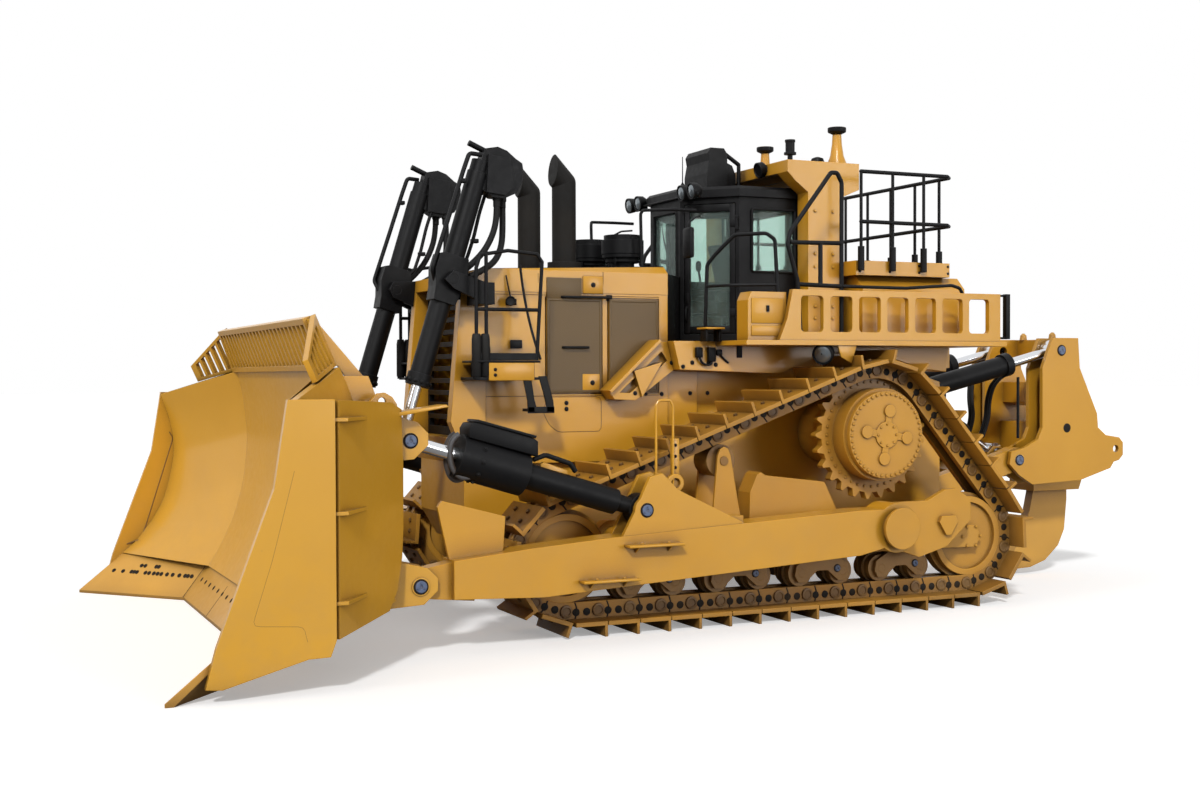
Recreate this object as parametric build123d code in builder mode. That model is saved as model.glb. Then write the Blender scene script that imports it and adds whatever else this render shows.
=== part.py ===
"""Large crawler bulldozer with a U-shaped blade and a single-shank ripper.

Millimetres.  +X forward, +Y the machine's left, +Z up.  The origin is on the
ground, under the middle of the machine's length and on its centreline.
Points in an outline are (x, z) for a side view, (x, y) for a plan and
(y, z) for a front view.
"""

import os
from math import acos, atan2, cos, degrees, hypot, pi, radians, sin

from build123d import *

os.makedirs("parts", exist_ok=True)

# ---------------------------------------------------------------- dimensions
FIT = 0.3                    # running clearance round a pin
SIDES = {"left": 1, "right": -1}

# undercarriage
GAUGE = 2896                 # between the two tracks' centre planes
SHOE_WIDTH = 710
LINK_PITCH = 317.5
LINK_HALF = 80               # half the height of a link, about its pin
SHOE_PLATE = 30
SHOE_SINK = 8                # how far a flat shoe sits down between the rounded links
GROUSER = 100
GROUSER_THICK = 26
RAIL_IN, RAIL_OUT = 62, 128  # a link rail's two faces, from the track's centre plane
IDLER_X = 1840               # front idler's axle
IDLER_BASE = 14 * LINK_PITCH
IDLER_PITCH_R = 480
SPROCKET_X, SPROCKET_Z = -1490, 1742
SPROCKET_TEETH = 25
ROLLER_R = 130
ROLLER_COUNT = 8
CARRIER_X, CARRIER_Z, CARRIER_R = 256, 1526, 152
FRAME_HALF = 190             # half the width of a track frame
BOGIE_IN, BOGIE_OUT = 134, 168   # a bogie plate's two faces, from the track's centre plane
AXLE_R = 42
PIVOT_X, PIVOT_Z, PIVOT_R = -560, 800, 120
EQUALIZER_X, EQUALIZER_Z = 1240, 830
TRUNNION_X, TRUNNION_Z, TRUNNION_R = -1310, 880, 150
CASTING_IN, CASTING_OUT = 1818, 1872      # between the shoes and the push arm

# hull and engine housing
HULL_HALF = 660
HULL_FRONT, HULL_REAR = 2480, -2950
HULL_FLOOR = 690
SUMP_WELL = 1180
HOOD_HALF = 740
HOOD_WALL = 40
HOOD_FRONT, HOOD_REAR = 2299.7, 385
HOOD_TOP_FRONT, HOOD_TOP_REAR = 3330, 3400
GUARD_OVER = 20              # radiator's frame beyond the hood's side
GUARD_HALF = HOOD_HALF + GUARD_OVER
GUARD_FRONT_TOP, GUARD_FRONT_FOOT = 2520, 2640
GUARD_REAR = 2300
GUARD_TOP, GUARD_FOOT = 3310, 1900
ENGINE = (450, 2250, 420, 1560, 2950)       # x from, x to, half width, z from, z to
STACK_X, STACK_Y, STACK_R = 1375, 460, 117
STACK_BEND_Z, STACK_TIP_Z = 4200, 4456

# operator station
DECK_FRONT, DECK_REAR = 40, -3010
DECK_HALF = 1690
DECK_LOW, DECK_TOP = 2400, 2660
SKIRT_GAP = 12               # hood's side to the side boxes
SKIRT_FRONT, SKIRT_IN, SKIRT_OUT = 500, HOOD_HALF + SKIRT_GAP, 1085    # side boxes, inside the tracks
BRACE_OUT = 210              # deck brace's outer face beyond the hood's side
CAB_FRONT, CAB_SHOULDER, CAB_REAR = 40, -390, -1110
CAB_NOSE_HALF, CAB_HALF = 340, 800
CAB_FLOOR, CAB_TOP = DECK_TOP, 4120
ROOF_TOP, ROOF_LIP = 4228, 35
CAB_WALL = 60
DOOR_MARGIN = 40             # from the slanted wall's ends to the doorway
HINGE_IN, HINGE_OUT, HINGE_R = 25, 16, 8   # hinge pin from the wall's rear end and from its face
DOOR_LOW, DOOR_HIGH = 2745, 4060
GLASS = 8
TANK_FRONT, TANK_REAR, TANK_HALF, TANK_TOP = -1520, -2780, 1300, 3330
POST_FRONT, POST_REAR, POST_IN, POST_OUT = -1040, -1415, 850, 1050
ROPS_FRONT, ROPS_REAR, ROPS_TOP = -800, -1647, 4480
TRAY_FRONT, TRAY_REAR, TRAY_TOP = -1440, -2590, 3475

# blade
ARM_Y, ARM_HALF = 2040, 150
ARM_PIN_X, ARM_PIN_Z, ARM_PIN_R = 3387, 605, 60
TILT_EYE = 140
TILT_FOOT = (1323, 1149)
TILT_HEAD = (3466, 1800)
LIFT_Y = 880
LIFT_TRUNNION = (2713, 3200)
LIFT_HEAD = (3422, 850)
BLADE_CENTRE_HALF = 2050
BLADE_HALF = 3179
EDGE_X, TIP_X = 4622, 5557   # cutting edge's foremost line, in the middle and at the wing's tip
GUARD_LEAN = radians(21)
BLADE_SHEET = 60
LUG = 50                     # thickness of a clevis lug
EYE_HALF = 80                # half the width of an eye between its lugs
LUG_GAP = 10                 # from an eye to its lugs

# ripper: pins in a side view, and the cylinders' places across the machine
LINK_FOOT = (-2260, 900)
LINK_HEAD = (-4057, 1374)
PITCH_FOOT, PITCH_Y, PITCH_EYE = (-2710, 2130), 500, 120
PITCH_HEAD = (-4650, 2600)
CLEVIS_HALF = EYE_HALF + LUG_GAP + LUG
CLEVIS_SPACE = 10            # between the two clevises on one side
RIP_LIFT_FOOT, RIP_LIFT_Y, RIP_LIFT_EYE = (-2700, 2200), PITCH_Y - 2 * CLEVIS_HALF - CLEVIS_SPACE, 105
RIP_LIFT_HEAD = (-4000, 1450)
RECESS_FRONT, RECESS_HALF = -2520, 650
PLATE_IN, PLATE_OUT = 360, 640   # the beam's side plates, from the centreline
SIDE_PLATE = 50
SHANK_HALF = 60
TOW_EYE, TOW_EYE_R = (-5450, 1470), 42


# ------------------------------------------------------------------- helpers
def export(piece, name):
    """Label one sub-part and write it."""
    piece.part.label = name
    export_step(piece.part, f"parts/{name}.step")


def side_plate(points, y_from, y_to, mode=Mode.ADD):
    """Solid with a side-view outline of straight edges."""
    with BuildSketch(Plane.XZ.offset(-y_from)) as face:
        with BuildLine():
            Polyline(*points, close=True)
        make_face()
    extrude(face.sketch, amount=-(y_to - y_from), mode=mode)


def deck_plate(points, z_from, z_to, mode=Mode.ADD):
    """Solid with a plan outline of straight edges."""
    with BuildSketch(Plane.XY.offset(z_from)) as face:
        with BuildLine():
            Polyline(*points, close=True)
        make_face()
    extrude(face.sketch, amount=z_to - z_from, mode=mode)


def front_plate(points, x_from, x_to, mode=Mode.ADD):
    """Solid with a front-view outline of straight edges."""
    with BuildSketch(Plane.YZ.offset(x_from)) as face:
        with BuildLine():
            Polyline(*points, close=True)
        make_face()
    extrude(face.sketch, amount=x_to - x_from, mode=mode)


def block(x, y, z, mode=Mode.ADD):
    """Box between three pairs of limits."""
    centre = [(min(pair) + max(pair)) / 2 for pair in (x, y, z)]
    size = [max(pair) - min(pair) for pair in (x, y, z)]
    with Locations(tuple(centre)):
        Box(*size, mode=mode)


def cross_bar(x, z, radius, y_from, y_to, mode=Mode.ADD):
    """Round bar or bore that runs across the machine."""
    with BuildSketch(Plane.XZ.offset(-y_from)) as face:
        with Locations((x, z)):
            Circle(radius)
    extrude(face.sketch, amount=-(y_to - y_from), mode=mode)


def bar(start, end, radius, mode=Mode.ADD):
    """Round bar from one point in space to another."""
    run = Vector(*end) - Vector(*start)
    with BuildSketch(Plane(origin=start, z_dir=run)) as face:
        Circle(radius)
    extrude(face.sketch, amount=run.length, mode=mode)


def between(start, end, share):
    """Point at a share of the way from start to end, in a side view."""
    return tuple(a + (b - a) * share for a, b in zip(start, end))


def along(start, end, distance):
    """Point at a distance from start on the line towards end."""
    return between(start, end, distance / hypot(end[0] - start[0], end[1] - start[1]))


def beside(start, end, run, across):
    """Point at a distance along the line from start to end, and off it towards the front."""
    x, z = along(start, end, run)
    length = hypot(end[0] - start[0], end[1] - start[1])
    return (x - across * (end[1] - start[1]) / length, z + across * (end[0] - start[0]) / length)


def at_y(point, y):
    """Point in space from a side-view point."""
    return (point[0], y, point[1])


# ------------------------------------------------------------- track's route
TRACK_Y = GAUGE / 2
ROLLER_Z = GROUSER + SHOE_PLATE + 2 * LINK_HALF + ROLLER_R + FIT
FRAME_LOW = ROLLER_Z + ROLLER_R + 40
PIN_FLOOR = GROUSER + SHOE_PLATE + LINK_HALF
IDLER_Z = PIN_FLOOR + IDLER_PITCH_R
REAR_IDLER_X = IDLER_X - IDLER_BASE
SPROCKET_PITCH_R = SPROCKET_TEETH * LINK_PITCH / 2 / (2 * pi)
WHEELS = [                   # x, z, pitch radius; anticlockwise seen from the left
    (IDLER_X, IDLER_Z, IDLER_PITCH_R),
    (REAR_IDLER_X, IDLER_Z, IDLER_PITCH_R),
    (SPROCKET_X, SPROCKET_Z, SPROCKET_PITCH_R),
]


def tangent_angle(first, second):
    """Direction, from both centres, of the outer straight run's two ends."""
    dx, dz = second[0] - first[0], second[1] - first[1]
    return atan2(dz, dx) + acos((first[2] - second[2]) / hypot(dx, dz))


def track_route():
    """Straight and round pieces of the pin line, as (kind, data, length)."""
    route = []
    count = len(WHEELS)
    angles = [tangent_angle(WHEELS[i], WHEELS[(i + 1) % count]) for i in range(count)]
    for i in range(count):
        x, z, r = WHEELS[i]
        nx, nz, nr = WHEELS[(i + 1) % count]
        a = angles[i]
        start = (x + r * cos(a), z + r * sin(a))
        end = (nx + nr * cos(a), nz + nr * sin(a))
        route.append(("run", (start, end, a), hypot(end[0] - start[0], end[1] - start[1])))
        turn = (angles[i] - angles[(i + 1) % count]) % (2 * pi)
        route.append(("turn", ((nx, nz), nr, a, turn), nr * turn))
    return route


def route_point(route, distance):
    """Place on the pin line and the outward direction there."""
    for kind, data, length in route:
        if distance <= length:
            break
        distance -= length
    if kind == "run":
        start, end, a = data
        return between(start, end, distance / length), a
    centre, r, a, turn = data
    a -= turn * distance / length
    return (centre[0] + r * cos(a), centre[1] + r * sin(a)), a


def route_loop(offset):
    """Closed line that runs outside the pin line by an offset."""
    for kind, data, length in track_route():
        if kind == "run":
            start, end, a = data
            out = (offset * cos(a), offset * sin(a))
            Line((start[0] + out[0], start[1] + out[1]), (end[0] + out[0], end[1] + out[1]))
        else:
            centre, r, a, turn = data
            reach = r + offset
            points = [(centre[0] + reach * cos(a - turn * s), centre[1] + reach * sin(a - turn * s))
                      for s in (0, 0.5, 1)]
            ThreePointArc(*points)


def loop_face(outer, inner):
    """Band between two offsets of the pin line, as a sketch in a side view."""
    with BuildSketch() as face:
        with BuildLine():
            route_loop(outer)
        make_face()
        with BuildLine():
            route_loop(inner)
        make_face(mode=Mode.SUBTRACT)
    return face.sketch


# ------------------------------------------------------------- undercarriage
def track(side):
    """One closed track: link rails, shoe plates and grousers on the pin line."""
    route = track_route()
    total = sum(length for _, _, length in route)
    count = round(total / LINK_PITCH)
    with BuildPart() as piece:
        middle = side * TRACK_Y
        shoes = Plane.XZ.offset(-(middle - SHOE_WIDTH / 2))
        with BuildSketch(shoes) as outline:
            pins = [route_point(route, i * total / count)[0] for i in range(count)]
            for (x0, z0), (x1, z1) in zip(pins, pins[1:] + pins[:1]):
                point, a = ((x0 + x1) / 2, (z0 + z1) / 2), atan2(z1 - z0, x1 - x0) + pi / 2
                plate = LINK_HALF + (SHOE_PLATE - SHOE_SINK) / 2
                place = (point[0] + plate * cos(a), point[1] + plate * sin(a))
                with Locations(Location(place, degrees(a) - 90)):
                    Rectangle(LINK_PITCH * 0.97, SHOE_PLATE + SHOE_SINK)
                reach = LINK_HALF + SHOE_PLATE + GROUSER / 2 - 1
                bar_side = LINK_PITCH / 2 - GROUSER_THICK / 2 - 6
                place = (point[0] + reach * cos(a) + bar_side * sin(a),
                         point[1] + reach * sin(a) - bar_side * cos(a))
                with Locations(Location(place, degrees(a) - 90)):
                    Rectangle(GROUSER_THICK, GROUSER + 2)
        extrude(outline.sketch, amount=-SHOE_WIDTH)
        band = loop_face(LINK_HALF, -LINK_HALF)
        for low in (-RAIL_OUT, RAIL_IN):
            rail = Plane.XZ.offset(-(middle + low)) * band
            extrude(rail, amount=-(RAIL_OUT - RAIL_IN))
    return piece


def idlers(side):
    """Front and rear idler: two treads, a centre flange and the axle."""
    middle = side * TRACK_Y
    tread = IDLER_PITCH_R - LINK_HALF - FIT
    with BuildPart() as piece:
        for x in (IDLER_X, REAR_IDLER_X):
            cross_bar(x, IDLER_Z, tread, middle - RAIL_OUT, middle + RAIL_OUT)
            cross_bar(x, IDLER_Z, tread + 40, middle - RAIL_IN + 10, middle + RAIL_IN - 10)
            for near, far in ((-RAIL_OUT, -RAIL_OUT + 40), (RAIL_OUT - 40, RAIL_OUT)):
                cross_bar(x, IDLER_Z, tread - 60, middle + near, middle + far, Mode.SUBTRACT)
            cross_bar(x, IDLER_Z, 120, middle - FRAME_HALF + 40 + FIT, middle + FRAME_HALF - 40 - FIT)
    return piece


def rollers(side):
    """Eight track rollers in a row and the carrier roller under the top run."""
    middle = side * TRACK_Y
    with BuildPart() as piece:
        for i in range(ROLLER_COUNT):
            x, z = roller_x(i), ROLLER_Z
            cross_bar(x, z, ROLLER_R, middle - RAIL_OUT, middle + RAIL_OUT)
            for near in (12 - RAIL_IN, RAIL_IN - 32):
                cross_bar(x, z, ROLLER_R + 25, middle + near, middle + near + 20)
            cross_bar(x, z, AXLE_R, middle - BOGIE_OUT, middle + BOGIE_OUT)
        cross_bar(CARRIER_X, CARRIER_Z, CARRIER_R, middle - RAIL_OUT, middle + RAIL_OUT)
        cross_bar(CARRIER_X, CARRIER_Z, AXLE_R, middle - FRAME_HALF - 8, middle + FRAME_HALF + 8)
    return piece


def bogies(side):
    """Saddles that each hang two rollers under the track frame."""
    middle = side * TRACK_Y
    with BuildPart() as piece:
        for i in range(0, ROLLER_COUNT, 2):
            front, rear = roller_x(i), roller_x(i + 1)
            centre, z = (front + rear) / 2, ROLLER_Z
            for near in (-BOGIE_OUT, BOGIE_IN):
                face = middle + near
                side_plate([(front + 40, z - 88), (front + 78, z - 20), (front + 60, z + 75), (centre + 125, FRAME_LOW - FIT),
                            (centre - 125, FRAME_LOW - FIT), (rear - 60, z + 75), (rear - 78, z - 20),
                            (rear - 40, z - 88), (rear + 45, z - 88), (centre - 60, z + 15), (centre + 60, z + 15),
                            (front - 45, z - 88)], face, face + BOGIE_OUT - BOGIE_IN)
                for x in (front, rear):
                    cross_bar(x, z, AXLE_R + FIT, face, face + BOGIE_OUT - BOGIE_IN, Mode.SUBTRACT)
            block((centre - 66, centre + 66), (middle - BOGIE_IN - 1, middle + BOGIE_IN + 1),
                  (FRAME_LOW - 50, FRAME_LOW - FIT))
    return piece


def roller_x(i):
    """Place of a track roller along the machine."""
    first, last = IDLER_X - 620, REAR_IDLER_X + 620
    return first + (last - first) * i / (ROLLER_COUNT - 1)


def track_frame(side):
    """Box beam inside the track, with idler yokes, recoil housing, roller bracket and trunnion."""
    middle, low = side * TRACK_Y, FRAME_LOW
    with BuildPart() as piece:
        side_plate([(IDLER_X - 520, low), (IDLER_X - 560, low + 250), (CARRIER_X, low + 330),
                    (SPROCKET_X + 760, low + 330), (SPROCKET_X + 620, low + 250), (REAR_IDLER_X + 560, low + 250),
                    (REAR_IDLER_X + 520, low)], middle - FRAME_HALF, middle + FRAME_HALF)
        for end, facing in ((IDLER_X, 1), (REAR_IDLER_X, -1)):
            for near in (-FRAME_HALF, FRAME_HALF - 40):
                side_plate([(end - facing * 600, low), (end - facing * 600, low + 250),
                            (end + facing * 60, IDLER_Z + 110), (end + facing * 120, IDLER_Z),
                            (end + facing * 60, IDLER_Z - 110)],
                           middle + near, middle + near + 40)
        # recoil housing on the beam, and the carrier roller's bracket
        side_plate([(-60, low + 310), (-70, 1215), (-150, 1385), (-185, 1405), (-235, 1372), (-900, 1290),
                    (-1040, 1010), (-1060, low + 250)], middle - 115, middle + 115)
        for near in (-FRAME_HALF, FRAME_HALF - 30):
            face = middle + near
            side_plate([(385, low + 300), (322, 1570), (296, 1636), (256, 1660), (214, 1640), (186, 1580),
                        (60, low + 300)], face, face + 30)
            cross_bar(CARRIER_X, CARRIER_Z, AXLE_R + FIT, face, face + 30, Mode.SUBTRACT)
        # trunnion for the push arm, outside the track, and the casting that carries it
        outer = middle + side * FRAME_HALF
        tip = side * (ARM_Y + ARM_HALF + 60)
        cross_bar(TRUNNION_X, TRUNNION_Z, TRUNNION_R, min(outer, tip), max(outer, tip))
        cross_bar(TRUNNION_X, TRUNNION_Z, TRUNNION_R + 45, min(tip, tip + side * 30),
                  max(tip, tip + side * 30))
        casting = (side * CASTING_IN, side * CASTING_OUT)
        side_plate([(-1130, 690), (-1130, 1010), (-1400, 1090), (-1890, 1093), (-2110, 1196), (-2230, 1200),
                    (-2410, 1095), (-2415, 886), (-2125, 634), (-1790, 544), (-1510, 640)],
                   min(casting), max(casting))
        side_plate([(-2040, 940), (-2200, 940), (-2230, 880), (-2150, 750), (-2090, 750), (-2010, 880)],
                   min(casting[1], casting[1] + side * 40), max(casting[1], casting[1] + side * 40))
        # seats of the pivot shaft and of the equalizer bar
        inner = middle - side * FRAME_HALF
        for x, z, r, reach in ((PIVOT_X, PIVOT_Z, PIVOT_R, 300), (EQUALIZER_X, EQUALIZER_Z, 90, 140)):
            end = inner - side * reach
            cross_bar(x, z, r + 60, min(inner, end), max(inner, end))
            cross_bar(x, z, r + FIT, min(middle, end), max(middle, end), Mode.SUBTRACT)
    return piece


def sprocket(side):
    """Toothed ring and the final drive hub that carries it."""
    middle = side * TRACK_Y
    root = SPROCKET_PITCH_R - 52
    hub = [(1330, 1690, 455), (1690, 1752, 425), (1752, 1768, 130)]      # from, to, radius
    with BuildPart() as piece:
        with BuildSketch(Plane.XZ.offset(-(middle - 45))) as ring:
            with Locations((SPROCKET_X, SPROCKET_Z)):
                Circle(root)
                with PolarLocations(root + 24, SPROCKET_TEETH):
                    Trapezoid(100, 84, 66, rotation=-90)
        extrude(ring.sketch, amount=-90)
        for near, far, radius in hub:
            cross_bar(SPROCKET_X, SPROCKET_Z, radius, min(side * near, side * far), max(side * near, side * far))
        # raised cross with its four bosses
        face, out = side * 1750, side * 1774
        for k in range(4):
            turn = radians(8 + 90 * k)
            x, z = SPROCKET_X + 235 * cos(turn), SPROCKET_Z + 235 * sin(turn)
            cross_bar(x, z, 62, min(face, out), max(face, out))
            across = (-34 * sin(turn), 34 * cos(turn))
            side_plate([(SPROCKET_X + across[0], SPROCKET_Z + across[1]), (x + across[0], z + across[1]),
                        (x - across[0], z - across[1]), (SPROCKET_X - across[0], SPROCKET_Z - across[1])],
                       min(face, side * 1766), max(face, side * 1766))
    return piece


def final_drives():
    """Cases that carry the sprockets high on the hull."""
    with BuildPart() as piece:
        for side in SIDES.values():
            steps = [side * (HULL_HALF + FIT), side * 1060, side * (1330 - FIT)]
            cross_bar(SPROCKET_X, SPROCKET_Z, 330, min(steps[:2]), max(steps[:2]))
            cross_bar(SPROCKET_X, SPROCKET_Z, 400, min(steps[1:]), max(steps[1:]))
    return piece


def cross_shafts():
    """Pivot shaft and equalizer bar that join hull and track frames."""
    reach = TRACK_Y - 20
    with BuildPart() as piece:
        cross_bar(PIVOT_X, PIVOT_Z, PIVOT_R, -reach, reach)
        cross_bar(EQUALIZER_X, EQUALIZER_Z, 90, -reach, reach)
    return piece


# ----------------------------------------------------------- hull and engine
def main_frame():
    """Welded hull: engine frame in front, steering case behind."""
    with BuildPart() as piece:
        side_plate([(HULL_FRONT, 1000), (HULL_FRONT - 160, HULL_FLOOR + 40), (2000, HULL_FLOOR),
                    (-2150, HULL_FLOOR), (HULL_REAR, 880), (HULL_REAR, 2250), (-2450, DECK_LOW),
                    (20, DECK_LOW), (20, 1900), (220, 1500), (HULL_FRONT, 1500)],
                   -HULL_HALF, HULL_HALF)
        # well for the engine's sump, open on top
        block((420, 2280), (-HULL_HALF + 90, HULL_HALF - 90), (SUMP_WELL, 1600), Mode.SUBTRACT)
        for x, z, r in ((PIVOT_X, PIVOT_Z, PIVOT_R), (EQUALIZER_X, EQUALIZER_Z, 90)):
            cross_bar(x, z, r + FIT, -HULL_HALF, HULL_HALF, Mode.SUBTRACT)
        # slot for the ripper's link, and the recess for its cylinders
        side_plate([(-2040, 600), (-2040, 1080), (-2350, 1160), (-3000, 1520), (-3000, 600)],
                   -610, 610, Mode.SUBTRACT)
        block((HULL_REAR - 1, RECESS_FRONT), (-RECESS_HALF, RECESS_HALF), (1640, DECK_LOW - 30), Mode.SUBTRACT)
        block((HULL_REAR - 1, HULL_REAR + 260), (-HULL_HALF, HULL_HALF), (DECK_LOW - 40, DECK_LOW),
              Mode.SUBTRACT)
        cross_bar(*LINK_FOOT, 60, -620, 620)
        for (x, z), y, r in ((PITCH_FOOT, PITCH_Y, None), (RIP_LIFT_FOOT, RIP_LIFT_Y, RIP_LIFT_EYE * 0.45)):
            for side in SIDES.values():
                for near in (-EYE_HALF - LUG_GAP - LUG, EYE_HALF + LUG_GAP):
                    face = side * y + near
                    side_plate([(x - 70, z - 90), (x + 20, z - 160), (RECESS_FRONT + 20, z - 160),
                                (RECESS_FRONT + 20, z + 100), (x, z + 100), (x - 80, z + 50)], face, face + LUG)
                    if r is None:
                        cross_bar(x, z, PITCH_EYE * 0.45 + FIT, face, face + LUG, Mode.SUBTRACT)
                if r is not None:
                    cross_bar(x, z, r - FIT, side * y - EYE_HALF - LUG_GAP - 5, side * y + EYE_HALF + LUG_GAP + 5)
    return piece


def engine_block():
    x0, x1, half, z0, z1 = ENGINE
    with BuildPart() as piece:
        block((x0, x1), (-half, half), (z0, z1))
        block((x0 + 60, x1 - 60), (-half + 60, half - 60), (SUMP_WELL + FIT, z0))
    return piece


def guard_outline(room=0.0):
    """Side view of the radiator's frame, grown by a clearance."""
    return [(GUARD_REAR - room, 1500 + FIT), (GUARD_REAR - room, GUARD_TOP), (GUARD_FRONT_TOP + room, GUARD_TOP - 20),
            (GUARD_FRONT_FOOT + room, GUARD_FOOT), (GUARD_FRONT_FOOT - 160 + room, 1500 + FIT)]


def radiator_guard():
    """Thick-walled frame round the radiator."""
    with BuildPart() as piece:
        side_plate(guard_outline(), -GUARD_HALF, GUARD_HALF)
        block((GUARD_REAR - 10, 2800), (-GUARD_HALF + 120, GUARD_HALF - 120), (1750, 3170),
              Mode.SUBTRACT)
    return piece


def lift_brackets(side):
    """Bearings of a lift cylinder's trunnion, bolted on the radiator's frame."""
    x, z = LIFT_TRUNNION
    inner, outer = side * (LIFT_Y - 130), side * (LIFT_Y + 130)
    with BuildPart() as piece:
        side_plate([(GUARD_FRONT_TOP - 60, z + 90), (x + 40, z + 80), (x + 80, z), (x + 40, z - 80),
                    (GUARD_FRONT_TOP - 60, z - 200)],
                   min(inner, inner - side * 60), max(inner, inner - side * 60))
        side_plate([(2400, z - 20), (x, z + 80), (x + 80, z), (x, z - 80), (2400, z - 220)],
                   min(outer, outer + side * 60), max(outer, outer + side * 60))
        ends = (side * (GUARD_HALF - 20), outer + side * 60)
        block((2320, 2480), (min(ends), max(ends)), (z - 220, z - 20))
        side_plate(guard_outline(FIT), -GUARD_HALF - FIT, GUARD_HALF + FIT, Mode.SUBTRACT)
        cross_bar(x, z, 45 + FIT, min(inner - side * 70, outer + side * 70),
                  max(inner - side * 70, outer + side * 70), Mode.SUBTRACT)
    return piece


def radiator_grille():
    """Slatted screen that fills the guard's opening."""
    half = GUARD_HALF - 120 - FIT
    with BuildPart() as piece:
        with BuildSketch(Plane.YZ.offset(GUARD_REAR + 60)) as face:
            with Locations((0, (1750 + 3170) / 2)):
                Rectangle(2 * half, 3170 - 1750 - 2 * FIT)
                with GridLocations(0, 118, 1, 11):
                    Rectangle(2 * half - 80, 70, mode=Mode.SUBTRACT)
        extrude(face.sketch, amount=50)
    return piece


def hood():
    """Engine cover: sloping top with bevelled edges over the doors."""
    low = 3120
    with BuildPart() as piece:
        with BuildSketch(Plane.YZ.offset(HOOD_REAR)) as rear:
            with BuildLine():
                Polyline((HOOD_HALF, low), (HOOD_HALF, HOOD_TOP_REAR - 70), (HOOD_HALF - 90, HOOD_TOP_REAR),
                         (-HOOD_HALF + 90, HOOD_TOP_REAR), (-HOOD_HALF, HOOD_TOP_REAR - 70),
                         (-HOOD_HALF, low), close=True)
            make_face()
        extrude(rear.sketch, amount=HOOD_FRONT - HOOD_REAR)
        side_plate([(HOOD_REAR, HOOD_TOP_REAR), (HOOD_REAR, 3600), (HOOD_FRONT, 3600),
                    (HOOD_FRONT, HOOD_TOP_FRONT)], -800, 800, Mode.SUBTRACT)
        block((HOOD_REAR + 40, HOOD_FRONT - 40), (-HOOD_HALF + HOOD_WALL, HOOD_HALF - HOOD_WALL),
              (low - 10, 3270), Mode.SUBTRACT)
    return piece


def engine_doors(side):
    """Two perforated doors with a post between them, and the panels below."""
    outer = side * (HOOD_HALF - 5)
    inner = side * (HOOD_HALF - 45)
    low, high = 2150, 3120 - FIT
    faces = (min(outer, inner), max(outer, inner))
    with BuildPart() as piece:
        block((HOOD_REAR, HOOD_FRONT), faces, (1500 + FIT, high))
        for x0, x1 in ((1090, 1690), (480, 1040)):
            panel = side * (HOOD_HALF - 25)
            skin = (min(panel, outer), max(panel, outer))
            block((x0, x1), skin, (low, high - 40), Mode.SUBTRACT)
            block((x0 + 12, x1 - 12), (min(panel, outer + side * 12), max(panel, outer + side * 12)),
                  (low + 12, high - 52))
    return piece


def exhaust_stacks():
    """Two round stacks whose tips lean forward and are cut upright."""
    with BuildPart() as piece:
        for side in SIDES.values():
            y = side * STACK_Y
            foot = (STACK_X, y, hood_z(STACK_X - STACK_R - 45) + FIT)
            bend = (STACK_X, y, STACK_BEND_Z)
            bar(foot, bend, STACK_R)
            with BuildSketch(Plane(origin=bend, z_dir=(0.68, 0, 0.73))) as mitre:
                Circle(STACK_R)
            extrude(mitre.sketch, amount=480)
            with Locations(bend):
                Sphere(STACK_R)
            bar((STACK_X, y, foot[2]), (STACK_X, y, foot[2] + 60), STACK_R + 45)
            side_plate([(STACK_X + 150, 4000), (STACK_X + 500, 4000), (STACK_X + 500, 4800),
                        (STACK_X + 40, 4800), (STACK_X + 100, STACK_TIP_Z)], y - 150, y + 150, Mode.SUBTRACT)
    return piece


def hood_z(x):
    """Height of the hood's top at a place along the machine."""
    share = (x - HOOD_REAR) / (HOOD_FRONT - HOOD_REAR)
    return HOOD_TOP_REAR + (HOOD_TOP_FRONT - HOOD_TOP_REAR) * share


def air_precleaners():
    """Two mushroom caps on their inlet pipes."""
    steps = [(0, 90, 118), (90, 120, 165), (110, 150, 205), (145, 285, 213), (280, 335, 188)]   # from, to, radius
    with BuildPart() as piece:
        for x, y in ((670, 300), (760, -300)):
            foot = hood_z(x - 118) + FIT
            for low, high, r in steps:
                bar((x, y, foot + low), (x, y, foot + high), r)
    return piece


# ---------------------------------------------------------- operator station
def fenders():
    """Deck that carries the cab: centre box, side boxes arched over the sprockets, and the top plate."""
    with BuildPart() as piece:
        block((DECK_REAR, DECK_FRONT), (-SKIRT_IN, SKIRT_IN), (DECK_LOW, DECK_TOP))
        for side in SIDES.values():
            ends = (side * SKIRT_IN, side * SKIRT_OUT)
            side_plate([(SKIRT_FRONT, DECK_TOP), (SKIRT_FRONT - 70, 2385), (-680, 2345), (-1230, 2550),
                        (-1780, 2560), (-2460, 2390), (-2710, 2360), (-2740, DECK_TOP)], min(ends), max(ends))
        block((DECK_REAR, DECK_FRONT), (-DECK_HALF, DECK_HALF), (DECK_TOP - 45, DECK_TOP))
        # room for the ripper's pitch cylinders under the rear edge
        block((DECK_REAR - 1, -2640), (-RECESS_HALF - 30, RECESS_HALF + 30), (DECK_LOW - 1, DECK_LOW + 110),
              Mode.SUBTRACT)
    return piece


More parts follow.
